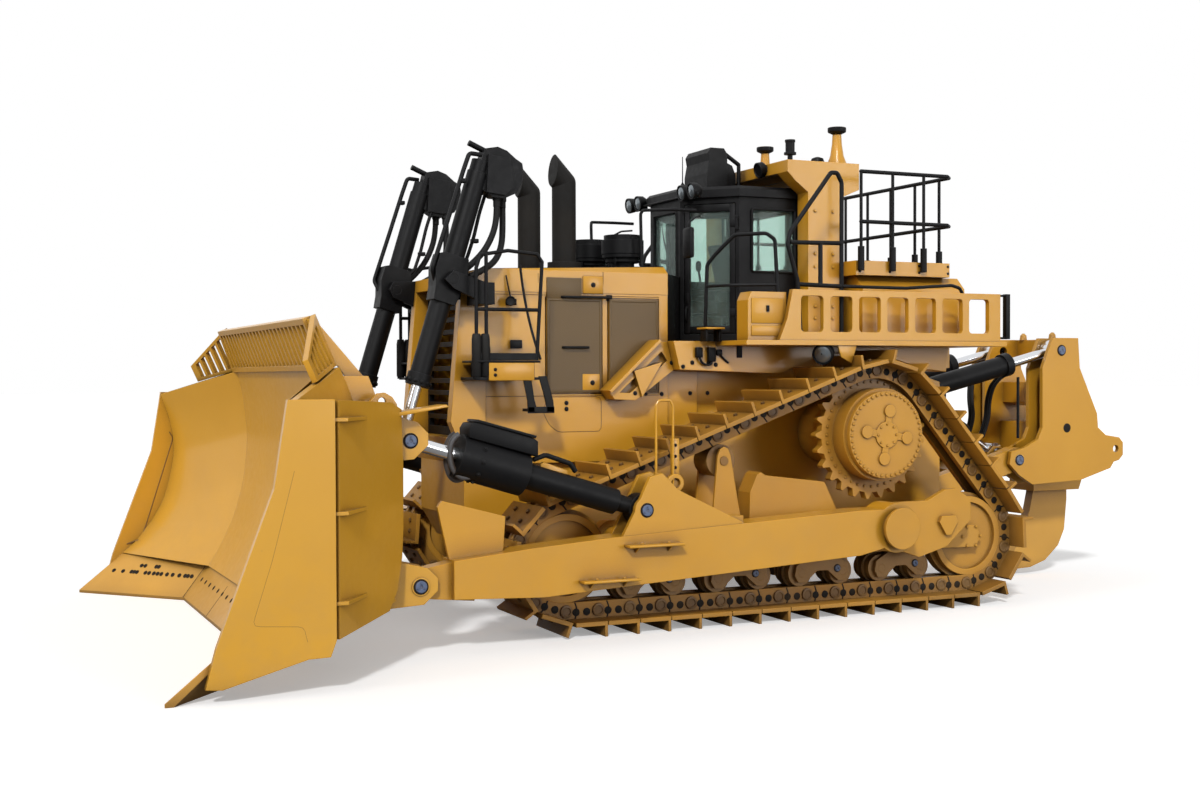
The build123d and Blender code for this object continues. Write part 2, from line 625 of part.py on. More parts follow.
def deck_braces(side):
    """Braces from the deck's front corners down to the hull, with their gussets."""
    near, far = side * (HOOD_HALF + 7 + FIT), side * (HOOD_HALF + BRACE_OUT)
    span = (min(near, far), max(near, far))
    top, foot = (585, 2655), (1115, 2165)
    with BuildPart() as piece:
        side_plate([(SKIRT_FRONT + 1, 2655), top, foot, (1060, 2100), (840, 2090), (431, 2380)], *span)
        side_plate([(560, 2560), (1010, 2165), (900, 2160), (500, 2470)],
                   min(far, far - side * 60), max(far, far - side * 60), Mode.SUBTRACT)
        side_plate([top, (605, 2675), (1135, 2185), foot], min(near, far + side * 50), max(near, far + side * 50))
        side_plate([(867, 2372), (566, 2458), (782, 2121)], min(far - side * 62, far + side * 30),
                   max(far - side * 62, far + side * 30))
    return piece


def platform_guards():
    """Ladder-shaped guards along the deck's edges."""
    front, rear, low, high = -470, -2935, DECK_TOP + FIT, 3146
    pitch, count, middle = 330, 7, -1678
    with BuildPart() as piece:
        for side in SIDES.values():
            ends = (side * (DECK_HALF - 70), side * (DECK_HALF - 10))
            side_plate([(front + 145, low), (rear, low), (rear, high), (front, high), (front + 60, low + 200)],
                       min(ends), max(ends))
            with BuildSketch(Plane.XZ.offset(-min(ends))) as windows:
                with Locations((middle, (low + high) / 2 + 12)):
                    with GridLocations(pitch, 0, count, 1):
                        RectangleRounded(252, 345, 38)
            extrude(windows.sketch, amount=-60, mode=Mode.SUBTRACT)
    return piece


def cab_outline(inset):
    """Plan of the cab: narrow nose, slanted walls that hold the doors, parallel rear."""
    nose, half = CAB_NOSE_HALF - inset * 0.55, CAB_HALF - inset
    shoulder = CAB_SHOULDER - inset * 0.45
    return [(CAB_FRONT - inset, nose), (shoulder, half), (CAB_REAR + inset, half),
            (CAB_REAR + inset, -half), (shoulder, -half), (CAB_FRONT - inset, -nose)]


DOOR_WALL = hypot(CAB_FRONT - CAB_SHOULDER, CAB_HALF - CAB_NOSE_HALF)
DOOR_RUN = Vector(CAB_SHOULDER - CAB_FRONT, CAB_HALF - CAB_NOSE_HALF, 0).normalized()
DOOR_OUT = DOOR_RUN.cross(Vector(0, 0, -1)) * -1
DOOR_PLANE = Plane(origin=(CAB_FRONT, CAB_NOSE_HALF, 0), x_dir=DOOR_RUN, z_dir=DOOR_OUT)
WINDOW_LOW, WINDOW_HIGH = 3380, 3990
SCREEN_LOW = 3020            # foot of the windscreen
CAB_INSIDE_TOP = CAB_TOP - 60
HINGES = (2960, 3860)


def wall_block(run, rise, out, mode=Mode.ADD):
    """Box on the left slanted wall: along it, up it and outward from its face."""
    with BuildSketch(DOOR_PLANE.offset(out[0])) as face:
        with Locations(((run[0] + run[1]) / 2, (rise[0] + rise[1]) / 2)):
            Rectangle(run[1] - run[0], rise[1] - rise[0])
    extrude(face.sketch, amount=out[1] - out[0], mode=mode)


def hinge_bar(radius, z_from, z_to, mode=Mode.ADD):
    """Round piece on the left door's hinge axis."""
    place = DOOR_PLANE.from_local_coords(Vector(DOOR_WALL - HINGE_IN, z_from, HINGE_OUT))
    bar(tuple(place), (place.X, place.Y, z_to), radius, mode)


def cab_shell():
    """Hollow cab with its window and door openings cut."""
    with BuildPart() as doorway:
        wall_block((DOOR_MARGIN, DOOR_WALL - DOOR_MARGIN), (DOOR_LOW, DOOR_HIGH), (-CAB_WALL - 30, 30))
    with BuildPart() as hinge:
        for z in HINGES:
            hinge_bar(HINGE_R, z - 70, z + 70)
            for low in (z - 70, z + 42):
                wall_block((DOOR_WALL - HINGE_IN - 12, DOOR_WALL - 8), (low, low + 28), (-20, HINGE_OUT + 12))
    with BuildPart() as piece:
        deck_plate(cab_outline(0), CAB_FLOOR + FIT, CAB_TOP)
        deck_plate(cab_outline(CAB_WALL), CAB_FLOOR + 60, CAB_INSIDE_TOP, Mode.SUBTRACT)
        # windscreen, rear window and rear side windows
        block((CAB_FRONT - 100, CAB_FRONT + 50), (-250, 250), (SCREEN_LOW, WINDOW_HIGH), Mode.SUBTRACT)
        block((CAB_REAR - 50, CAB_REAR + 100), (-620, 620), (WINDOW_LOW + 40, WINDOW_HIGH), Mode.SUBTRACT)
        for side in SIDES.values():
            wall = (side * (CAB_HALF - CAB_WALL - 20), side * (CAB_HALF + 20))
            block((CAB_REAR + 90, CAB_SHOULDER - 150), wall, (WINDOW_LOW, WINDOW_HIGH), Mode.SUBTRACT)
        for cut in (doorway.part, mirror(doorway.part, about=Plane.XZ)):
            add(cut, mode=Mode.SUBTRACT)
        add(hinge.part)
        add(mirror(hinge.part, about=Plane.XZ))
    return piece


def cab_door(side):
    """Door as thick as the cab's wall, with its window, hinge leaves and a grab handle."""
    gap = 6
    low, high = DOOR_LOW + gap, DOOR_HIGH - gap
    near, far = DOOR_MARGIN + gap, DOOR_WALL - DOOR_MARGIN - gap
    pane = ((near + 70, far - 70), (WINDOW_LOW - 60, high - 70))
    with BuildPart() as piece:
        wall_block((near, far), (low, high), (-CAB_WALL, 0))
        wall_block(*pane, (-CAB_WALL - 1, 1), Mode.SUBTRACT)
        wall_block(*pane, (-CAB_WALL / 2 - GLASS / 2, -CAB_WALL / 2 + GLASS / 2))
        for z in HINGES:
            wall_block((far - 60, far), (z - 40, z + 40), (-1, 5))
            wall_block((far - 60, DOOR_WALL - HINGE_IN), (z - 40, z + 40), (4, 12))
            hinge_bar(HINGE_R + 8, z - 40, z + 40)
            hinge_bar(HINGE_R + FIT, z - 41, z + 41, Mode.SUBTRACT)
        for z in (2890, 2990):
            wall_block((near + 20, near + 40), (z, z + 20), (-1, 50))
        wall_block((near + 20, near + 40), (2870, 3030), (40, 58))
    if side < 0:
        piece.part = mirror(piece.part, about=Plane.XZ)
    return piece


def bulkhead():
    """Full-width wall behind the engine, below the deck."""
    rear, front, half = CAB_FRONT + FIT, HOOD_REAR - FIT, HOOD_HALF - 40
    with BuildPart() as piece:
        side_plate([(rear, DECK_TOP), (front, DECK_TOP), (front, 1510), (225, 1510), (rear, 1900)],
                   -half, half)
    return piece


def dash_cowl():
    """Cowl between the engine housing and the cab's nose."""
    rear, front, half = CAB_FRONT + FIT, HOOD_REAR - FIT, HOOD_HALF - 40
    with BuildPart() as piece:
        deck_plate([(rear, -320), (230, -560), (front, -half), (front, half), (230, 560), (rear, 320)],
                   DECK_TOP + FIT, 3330)
    return piece


def cab_glass():
    """Panes that fill the cab's fixed windows."""
    with BuildPart() as piece:
        x = CAB_FRONT - CAB_WALL / 2
        block((x - GLASS / 2, x + GLASS / 2), (-250 + FIT, 250 - FIT), (SCREEN_LOW + FIT, WINDOW_HIGH - FIT))
        x = CAB_REAR + CAB_WALL / 2
        block((x - GLASS / 2, x + GLASS / 2), (-620 + FIT, 620 - FIT),
              (WINDOW_LOW + 40 + FIT, WINDOW_HIGH - FIT))
        for side in SIDES.values():
            y = side * (CAB_HALF - CAB_WALL / 2)
            block((CAB_REAR + 90 + FIT, CAB_SHOULDER - 150 - FIT), (y - GLASS / 2, y + GLASS / 2),
                  (WINDOW_LOW + FIT, WINDOW_HIGH - FIT))
    return piece


def operator_seat():
    """Seat with its back rest on a pedestal, and the console in front."""
    floor = CAB_FLOOR + 60 + FIT
    with BuildPart() as piece:
        block((-650, -250), (-180, 180), (floor, floor + 260))
        block((-720, -180), (-280, 280), (floor + 260, floor + 400))
        side_plate([(-720, floor + 400), (-600, floor + 400), (-720, floor + 1000), (-820, floor + 1000)],
                   -260, 260)
        for side in SIDES.values():
            ends = (side * 290, side * 390)
            block((-650, -130), ends, (floor + 480, floor + 560))
            block((-560, -480), ends, (floor, floor + 480))
    with BuildPart() as console:
        side_plate([(CAB_FRONT - 70, floor), (CAB_FRONT - 70, 3010), (CAB_FRONT - 120, 3040),
                    (CAB_FRONT - 170, floor)], -220, 220)
    piece.part = Compound(children=piece.part.solids() + console.part.solids())
    return piece


def rollover_frame():
    """Two gusseted posts, the box beam across them and the canopy plate over the cab's rear."""
    with BuildPart() as piece:
        for side in SIDES.values():
            ends = (side * POST_IN, side * POST_OUT)
            side_plate([(ROPS_FRONT, ROPS_TOP), (ROPS_FRONT, 4362), (-897, 4269), (POST_FRONT, 4165),
                        (POST_FRONT, DECK_TOP + FIT), (POST_REAR, DECK_TOP + FIT), (POST_REAR, 4120),
                        (ROPS_REAR, 4215), (ROPS_REAR, ROPS_TOP)], min(ends), max(ends))
            # masts at the rear corners
            bar((-1592, side * 727, ROPS_TOP - 5), (-1592, side * 727, ROPS_TOP + 110), 62)
            bar((-1592, side * 727, ROPS_TOP + 105), (-1592, side * 727, 4870), 36)
            bar((-1592, side * 727, 4858), (-1592, side * 727, 4893), 92)
        block((ROPS_REAR, ROPS_FRONT), (-POST_OUT, POST_OUT), (4362, ROPS_TOP))
        block((ROPS_REAR, -1200), (-POST_OUT, POST_OUT), (4215, ROPS_TOP))
        # the canopy's hollow underside
        block((-1180, ROPS_FRONT - 30), (-POST_IN + 30, POST_IN - 30), (4361, ROPS_TOP - 40), Mode.SUBTRACT)
    return piece


def beacon():
    """Warning beacon on its bracket over the rear of the canopy."""
    x, low = -1473, ROPS_TOP + FIT
    with BuildPart() as piece:
        block((x - 90, x + 90), (-90, 90), (low, low + 20))
        bar((x, 0, low + 10), (x, 0, low + 245), 28)
        bar((x, 0, low + 225), (x, 0, low + 250), 66)
        bar((x, 0, low + 245), (x, 0, low + 365), 50)
        bar((x, 0, low + 360), (x, 0, low + 385), 56)
    return piece


def cab_roof():
    """Roof cap that overhangs the cab's walls all round, its top edge bevelled."""
    with BuildPart() as piece:
        deck_plate(cab_outline(-ROOF_LIP), CAB_TOP + FIT, ROOF_TOP)
        top = piece.faces().sort_by(Axis.Z)[-1]
        chamfer(top.edges(), 28)
    return piece


def roof_cooler():
    """Cooling unit on the cab's roof: rounded housing with a lower duct behind."""
    low = ROOF_TOP + FIT
    with BuildPart() as piece:
        with BuildSketch(Plane.XZ.offset(250)) as housing:
            with BuildLine():
                Polyline((-320, low), (-320, low + 190), (-345, low + 320), (-330, low + 400), (-365, low + 455),
                         (-520, low + 455), (-560, low + 400), (-560, low), close=True)
            make_face()
        extrude(housing.sketch, amount=-500)
        side_plate([(-555, low), (-555, low + 330), (-650, low + 290), (-690, low + 200), (-690, low)], -190, 190)
        for side in SIDES.values():
            bar((-530, side * 205, low + 420), (-720, side * 205, low + 300), 22)
            bar((-720, side * 205, low + 310), (-720, side * 205, low), 20)
    return piece


def fuel_tank():
    """Tank behind the cab, its top edges bevelled."""
    half, low = TANK_HALF, DECK_TOP + FIT
    with BuildPart() as piece:
        front_plate([(half, low), (half, TANK_TOP - 120), (half - 120, TANK_TOP), (-half + 120, TANK_TOP),
                     (-half, TANK_TOP - 120), (-half, low)], TANK_REAR, TANK_FRONT)
    return piece


def tank_tray():
    """Open tray on the tank's top: the walkway and its toe boards."""
    wall, low = 30, TANK_TOP + FIT
    with BuildPart() as piece:
        block((TRAY_REAR, TRAY_FRONT), (-TANK_HALF, TANK_HALF), (low, TRAY_TOP))
        block((TRAY_REAR + wall, TRAY_FRONT - wall), (-TANK_HALF + wall, TANK_HALF - wall),
              (low + 20, TRAY_TOP + 1), Mode.SUBTRACT)
    return piece


def rear_railing():
    """Two-rail guard round the tray on the tank, its posts in sockets on the toe boards."""
    y, r, rear = TANK_HALF + 33 + FIT, 20, TRAY_REAR - 33 - FIT
    low, mid, top = TRAY_TOP - 100, 3862, 4362
    front = -1480
    corners = [(front, y), (rear + 90, y), (rear, y - 90), (rear, 90 - y), (rear + 90, -y), (front, -y)]
    posts = [(x, side * y) for side in SIDES.values() for x in (front, -1860, -2240)]
    posts += [(rear, across) for across in (-1080, -660, -220, 220, 660, 1080)]
    with BuildPart() as piece:
        for z in (mid, top):
            for (xa, ya), (xb, yb) in zip(corners, corners[1:]):
                bar((xa, ya, z), (xb, yb, z), r)
            for xa, ya in corners:
                with Locations((xa, ya, z)):
                    Sphere(r)
        for x, across in posts:
            bar((x, across, low), (x, across, top), r - 4)
            bar((x, across, low), (x, across, low + 240), 33)
    return piece


def access_steps(side):
    """Step box with its hand rails beside the radiator guard, and the hanging step below."""
    inner, outer = side * (GUARD_HALF + FIT), side * 1200
    rail_y = side * 1170
    span = (min(inner, outer), max(inner, outer))
    well = (side * (GUARD_HALF + 40), rail_y)
    low, high, r = 2290, 2455, 17
    front, rear, top = 2535, 1925, 3440
    hoop = [(front, 2330), (front, 3300), (2495, 3420), (2230, top + 25), (1945, top), (rear - 30, 3370),
            (1950, 2470)]
    with BuildPart() as piece:
        block((1985, 2545), span, (low, low + 25))
        block((1985, 2445), span, (low, high))
        block((2010, 2420), (min(well), max(well)), (low + 25, high + 1), Mode.SUBTRACT)
        for (xa, za), (xb, zb) in zip(hoop, hoop[1:]):
            bar((xa, rail_y, za), (xb, rail_y, zb), r)
        for xa, za in hoop[1:-1]:
            with Locations((xa, rail_y, za)):
                Sphere(r)
        bar((front, rail_y, 2930), (rear, rail_y, 2930), r)
        bar((2440, rail_y, low + 20), (2440, rail_y, top + 15), r)
        # bar over the box and the uprights' sockets
        block((1960, 2545), (min(rail_y - 22, rail_y + 22), max(rail_y - 22, rail_y + 22)), (2470, 2535))
        for x in (front, 2440):
            bar((x, rail_y, low + 10), (x, rail_y, low + 300), 36)
        # hanging step
        strap = (min(outer, outer - side * 14), max(outer, outer - side * 14))
        for x in (1880, 2040):
            side_plate([(x, low + 20), (x + 50, low + 20), (x - 20, 2020), (x - 80, 2020)], *strap)
        block((1790, 2030), (min(outer, outer - side * 190), max(outer, outer - side * 190)), (2000, 2026))
        block((1880, 2100), (min(outer, outer - side * 60), max(outer, outer - side * 60)), (low, low + 25))
    return piece


def battery_box(side):
    """Box on the deck's outer corner, ahead of the ladder-shaped guard."""
    near, far = side * 1400, side * 1610
    with BuildPart() as piece:
        side_plate([(-20, DECK_TOP + FIT), (-20, 3040), (-60, 3120), (-440, 3120), (-440, DECK_TOP + FIT)],
                   min(near, far), max(near, far))
    return piece


# --------------------------------------------------------------------- blade
def push_arm(side):
    """Box-section arm from the trunnion to the blade's foot."""
    near, far = side * (ARM_Y - ARM_HALF), side * (ARM_Y + ARM_HALF)
    span = (min(near, far), max(near, far))
    eye = (side * ARM_Y - EYE_HALF, side * ARM_Y + EYE_HALF)
    pin = (ARM_PIN_X, ARM_PIN_Z)
    with BuildPart() as piece:
        side_plate([(3100, 480), (3100, 800), (2400, 870), (1690, 925), (-900, 1060), (-1180, 1060),
                    (-1180, 700), (-900, 640), (2300, 450)], *span)
        side_plate([(2900, 450), (3310, 490), (3340, 740), (2900, 820)], *eye)
        cross_bar(*pin, 140, *eye)
        cross_bar(TRUNNION_X, TRUNNION_Z, 235, *span)
        cross_bar(*pin, ARM_PIN_R + FIT, *eye, Mode.SUBTRACT)
        cross_bar(TRUNNION_X, TRUNNION_Z, TRUNNION_R + 1, *span, Mode.SUBTRACT)
        # gusset over the arm's front end
        side_plate([(2620, 850), (2600, 1140), (3160, 1290), (3200, 1240), (3100, 790)],
                   side * ARM_Y - 20, side * ARM_Y + 20)
        # ears that hold the foot of the tilt cylinder
        x, z = TILT_FOOT
        lug_in = EYE_HALF + LUG_GAP
        for near_face in (-lug_in - LUG, lug_in):
            face = side * ARM_Y + near_face
            side_plate([(1560, 920), (1450, 1120), (1290, 1440), (1170, 1470), (1020, 1320), (330, 990)],
                       face, face + LUG)
            cross_bar(x, z, 115, face, face + LUG)
        reach = lug_in + LUG
        cross_bar(x, z, TILT_EYE * 0.45 - FIT, side * ARM_Y - reach, side * ARM_Y + reach)
        block((330, 980), (side * ARM_Y - lug_in, side * ARM_Y + lug_in), (980, 1060))
    return piece


def blade_pins():
    """Where each pin of the blade's back lies: side view, and y."""
    return [((ARM_PIN_X, ARM_PIN_Z), ARM_Y), (TILT_HEAD, ARM_Y), (LIFT_HEAD, LIFT_Y)]


def moldboard_face(y, top, mid, foot):
    """Section of the curved sheet at y: its front face runs through three points."""
    back_foot = (foot[0] - BLADE_SHEET * 0.9, foot[1] + 30)
    back_top = (top[0] - BLADE_SHEET, top[1] + 10)
    with BuildSketch(Plane.XZ.offset(-y)) as face:
        with BuildLine():
            ThreePointArc(top, mid, foot)
            Line(foot, back_foot)
            ThreePointArc(back_foot, (mid[0] - BLADE_SHEET, mid[1]), back_top)
            Line(back_top, top)
        make_face()
    return face.sketch


CENTRE_FACE = ((4080, 2390), (3890, 1550), (4370, 360))
WING_FACE = ((4680, 2140), (4560, 1410), (5100, 400))
WING_Y = 3119


def moldboard():
    """Curved sheet of the blade with its two box-backed wings, end plates and lugs."""
    root, tip = (3600, 2250), (4340, WING_Y + 1)      # the closing plates' ends, in plan
    with BuildPart() as piece:
        extrude(moldboard_face(-BLADE_CENTRE_HALF, *CENTRE_FACE), amount=-2 * BLADE_CENTRE_HALF)
        # box beams along the back
        for outline in ([(3990, 2330), (3990, 2090), (3800, 2040), (3700, 2120), (3780, 2330)],
                        [(4120, 900), (4230, 640), (4270, 450), (3960, 470), (3900, 640), (3930, 860)]):
            side_plate(outline, -BLADE_CENTRE_HALF, BLADE_CENTRE_HALF)
        for side in SIDES.values():
            loft([moldboard_face(side * BLADE_CENTRE_HALF, *CENTRE_FACE),
                  moldboard_face(side * WING_Y, *WING_FACE)], ruled=True)
            ends = (side * WING_Y, side * BLADE_HALF)
            side_plate([(4344, 2160), (4690, 2160), (4790, 1520), (5170, 500), (5205, 405), (5283, 112),
                        (5164, 102), (4547, 272), (4384, 276), (4340, 396)], min(ends), max(ends))
            # plate that closes the wing's back, square to the ground
            run = Vector(tip[0] - root[0], side * (tip[1] - root[1]), 0)
            back = Plane(origin=(root[0], side * root[1], 0), x_dir=run, z_dir=run.cross(Vector(0, 0, 1)) * side)
            up = 1 if back.y_dir.Z > 0 else -1
            with BuildSketch(back) as closing:
                with BuildLine():
                    Polyline(*[(x, z * up) for x, z in
                               ((0, 871), (-28, 1111), (-28, 1651), (0, 2060), (200, 2120), (run.length, 2155),
                                (run.length, 396), (250, 470), (90, 620))], close=True)
                make_face()
            extrude(closing.sketch, amount=-40)
            for z, x_root, x_tip in ((2080, 3940, 4640), (520, 4210, 4990)):
                deck_plate([(root[0] + 20, side * (root[1] + 2)), (root[0] + 20, side * 2030), (x_root, side * 2030),
                            (x_tip, side * WING_Y), (tip[0] + 10, side * WING_Y)], z - 15, z + 15)
            # ribs on the closing plate
            for z in (2010, 1320, 660):
                deck_plate([(3825, side * 2520), (4240, side * (WING_Y + 30)), (4360, side * (WING_Y + 30)),
                            (4360, side * (WING_Y - 10)), (3850, side * 2510)], z - 14, z + 14)
            # lugs: two plates on each side of every eye
            for (x, z), y in blade_pins():
                for near_face in (-EYE_HALF - LUG_GAP - LUG, EYE_HALF + LUG_GAP):
                    face = side * y + near_face
                    reach = 3960 if z > 700 else 4060
                    side_plate([(x - 60, z + 150), (reach, z + 330), (reach + 60, z), (reach + 40, z - 190),
                                (x - 30, z - 150), (x - 150, z - 40), (x - 150, z + 60)], face, face + LUG)
                    cross_bar(x, z, 61, face, face + LUG, Mode.SUBTRACT)
            # lifting eye over the upper lugs
            eye = (side * 2215, side * 2255)
            side_plate([(3600, 2030), (3600, 2100), (3640, 2160), (3700, 2196), (3760, 2190), (3850, 2100),
                        (3880, 2030)], min(eye), max(eye))
            cross_bar(3725, 2125, 32, min(eye), max(eye), Mode.SUBTRACT)
            reach = CLEVIS_HALF
            cross_bar(ARM_PIN_X, ARM_PIN_Z, ARM_PIN_R, side * ARM_Y - reach, side * ARM_Y + reach)
            for near in (-reach - 12, reach - 1):
                face = side * ARM_Y + near
                cross_bar(ARM_PIN_X, ARM_PIN_Z, 75, face, face + 13)
    return piece


def edge_profile(foot, tip_x):
    """Cutting edge in a side view, from under the sheet's foot to the ground."""
    x, z = foot
    return [(x - 52, z - FIT), (x + 8, z - FIT), (tip_x, 30), (tip_x, 0), (tip_x - 62, 0)]


def cutting_edges():
    """Centre edge and the two wing edges that end in pointed bits."""
    centre, wing = edge_profile(CENTRE_FACE[2], EDGE_X), edge_profile(WING_FACE[2], TIP_X)
    with BuildPart() as piece:
        side_plate(centre, -BLADE_CENTRE_HALF, BLADE_CENTRE_HALF)
        for side in SIDES.values():
            faces = []
            for points, y in ((centre, BLADE_CENTRE_HALF), (wing, WING_Y - FIT)):
                with BuildSketch(Plane.XZ.offset(-side * y)) as face:
                    with BuildLine():
                        Polyline(*points, close=True)
                    make_face()
                faces.append(face.sketch)
            loft(faces, ruled=True)
    return piece


def spill_guard():
    """Slatted guard over the blade's top edge: a middle panel that leans forward and two side panels."""
    base = Plane(origin=(4058, 0, 2398.5), x_dir=(0, 1, 0), z_dir=(cos(GUARD_LEAN), 0, -sin(GUARD_LEAN)))
    with BuildPart() as piece:
        with BuildSketch(base) as face:
            with BuildLine():
                Polyline((-1950, 0), (1950, 0), (1900, 450), (-1900, 450), close=True)
            make_face()
            with Locations((0, 225)):
                with GridLocations(150, 0, 25, 1):
                    Rectangle(104, 350, mode=Mode.SUBTRACT)
        extrude(face.sketch, amount=70)
        for side in SIDES.values():
            top, foot = Vector(4219, side * 1900, 2818), Vector(4058, side * 1950, 2400)
            far_foot, far_top = Vector(4372, side * 2600, 2273), Vector(4448, side * 2600, 2440)
            panel = Plane(origin=foot, x_dir=far_foot - foot, z_dir=(top - foot).cross(far_foot - foot) * side)
            local = [panel.to_local_coords(corner) for corner in (foot, far_foot, far_top, top)]
            with BuildSketch(panel) as wing:
                with BuildLine():
                    Polyline(*[(corner.X, corner.Y) for corner in local], close=True)
                make_face()
                for k in range(5):
                    x0, x1 = 75 + 122 * k, 75 + 122 * k + 82
                    heights = [local[3].Y + (local[2].Y - local[3].Y) * (x - local[3].X) /
                               (local[2].X - local[3].X) - 34 * (1 if local[3].Y > 0 else -1) for x in (x0, x1)]
                    floor = 34 if local[3].Y > 0 else -34
                    with BuildLine():
                        Polyline((x0, floor), (x1, floor), (x1, heights[1]), (x0, heights[0]), close=True)
                    make_face(mode=Mode.SUBTRACT)
            extrude(wing.sketch, amount=46)
            bar((4070, side * 1945, 2446), (4214, side * 1903, 2800), 42)
            # brace behind the panel
            plate = (side * 1925, side * 1965)
            side_plate([(4190, 2780), (3800, 2330.3), (3950, 2330.3), (4008, 2412), (4060, 2420)],
                       min(plate), max(plate))
    return piece


# ----------------------------------------------------------------- cylinders
def cylinder(foot, head, places, shape):
    """Barrels and rods of like cylinders at several places across the machine.

    Everything is set along the line from foot to head: the shell as (from, to, radius) steps,
    the bore's start, the rod's start and radius, and the eyes' radius.  A trunnion
    replaces the foot's eye on a cylinder that hangs by its middle.
    """
    length = hypot(head[0] - foot[0], head[1] - foot[1])
    steps, bore, rod_from, rod_r, eye_r, trunnion = shape
    shell_to = steps[-1][1]
    with BuildPart() as barrel:
        for y in places:
            eye = (y - EYE_HALF, y + EYE_HALF)
            for start, end, radius in steps:
                bar(at_y(along(foot, head, start), y), at_y(along(foot, head, end), y), radius)
            if trunnion:
                valve_block(y)
                swivel_block(foot, head, y)
                cross_bar(*foot, 45, y - 190, y + 190)
            else:
                bar(at_y(foot, y), at_y(along(foot, head, steps[0][0] + 5), y), EYE_HALF - 6)
                cross_bar(*foot, eye_r, *eye)
                cross_bar(*foot, eye_r * 0.45, *eye, Mode.SUBTRACT)
            bar(at_y(along(foot, head, bore), y), at_y(along(foot, head, shell_to + 5), y), rod_r + 1,
                Mode.SUBTRACT)
    with BuildPart() as rod:
        for y in places:
            eye = (y - EYE_HALF, y + EYE_HALF)
            bar(at_y(along(foot, head, rod_from), y), at_y(along(foot, head, length - eye_r * 0.6), y), rod_r)
            cross_bar(*head, eye_r, *eye)
            cross_bar(*head, eye_r * 0.45, *eye, Mode.SUBTRACT)
    return barrel, rod


# -------------------------------------------------------------------- ripper
def swivel_block(foot, head, y):
    """Block round a lift cylinder's shell that carries its trunnion."""
    corners = [(-230, 110), (-205, 162), (-60, 165), (90, 122), (215, 106), (215, -106), (-60, -150), (-230, -112)]
    side_plate([beside(foot, head, run, across) for run, across in corners], y - 112, y + 112)


def valve_block(y):
    """Valve with its rounded guard behind the top of a lift cylinder, and the pipe on it."""
    side_plate([(2400, 4290), (2370, 4412), (2240, 4436), (2150, 4404), (2066, 4336), (2000, 4296), (1992, 4240),
                (2008, 4110), (2062, 4016), (2180, 3962), (2290, 3970), (2430, 4060)], y - 72, y + 72)
    side_plate([(2360, 4010), (2340, 4360), (2120, 4330), (2090, 4060), (2180, 3990)], y - 100, y + 100)
    bar((2500, y, 4466), (2290, y, 4376), 27)


def ripper_link():
    """Lower link: two side arms joined by a plate, pinned to the hull and the beam."""
    with BuildPart() as piece:
        for side in SIDES.values():
            ends = (side * (PLATE_IN + SIDE_PLATE + 15), side * (PLATE_OUT - SIDE_PLATE - 15))
            span = (min(ends), max(ends))
            side_plate([(LINK_FOOT[0], LINK_FOOT[1] - 120), (LINK_HEAD[0], LINK_HEAD[1] - 130),
                        (LINK_HEAD[0], LINK_HEAD[1] + 130), (LINK_FOOT[0], LINK_FOOT[1] + 120)], *span)
            cross_bar(*LINK_FOOT, 130, *span)
            cross_bar(*LINK_HEAD, 140, *span)
        half = PLATE_IN + SIDE_PLATE + 16
        for low, high, drop, depth in ((0.30, 0.50, -90, 100), (0.72, 0.86, -110, 120)):
            (xa, za), (xb, zb) = between(LINK_FOOT, LINK_HEAD, low), between(LINK_FOOT, LINK_HEAD, high)
            side_plate([(xa, za + drop), (xb, zb + drop), (xb, zb + drop + depth), (xa, za + drop + depth)],
                       -half, half)
        x, z = RIP_LIFT_HEAD
        for side in SIDES.values():
            for near in (-EYE_HALF - LUG_GAP - 30, EYE_HALF + LUG_GAP):
                face = side * RIP_LIFT_Y + near
                side_plate([(x - 60, z + 60), (x + 40, z + 70), (x + 320, z - 200), (x + 220, z - 300),
                            (x + 60, z - 120), (x - 60, z - 60)], face, face + 30)
                cross_bar(x, z, 48, face, face + 30, Mode.SUBTRACT)
        cross_bar(*LINK_FOOT, 60 + FIT, -half - 200, half + 200, Mode.SUBTRACT)
        cross_bar(*LINK_HEAD, 60 + FIT, -half - 200, half + 200, Mode.SUBTRACT)
    return piece


def ripper_pins():
    """The two pins that join link and beam."""
    with BuildPart() as piece:
        for side in SIDES.values():
            ends = (side * (PLATE_IN - 4), side * (PLATE_OUT + 4))
            cross_bar(*LINK_HEAD, 60, min(ends), max(ends))
    return piece


def pitch_pins():
    """Foot pins of the ripper's pitch cylinders."""
    reach = CLEVIS_HALF
    with BuildPart() as piece:
        for side in SIDES.values():
            cross_bar(*PITCH_FOOT, PITCH_EYE * 0.45 - FIT, side * PITCH_Y - reach, side * PITCH_Y + reach)
    return piece


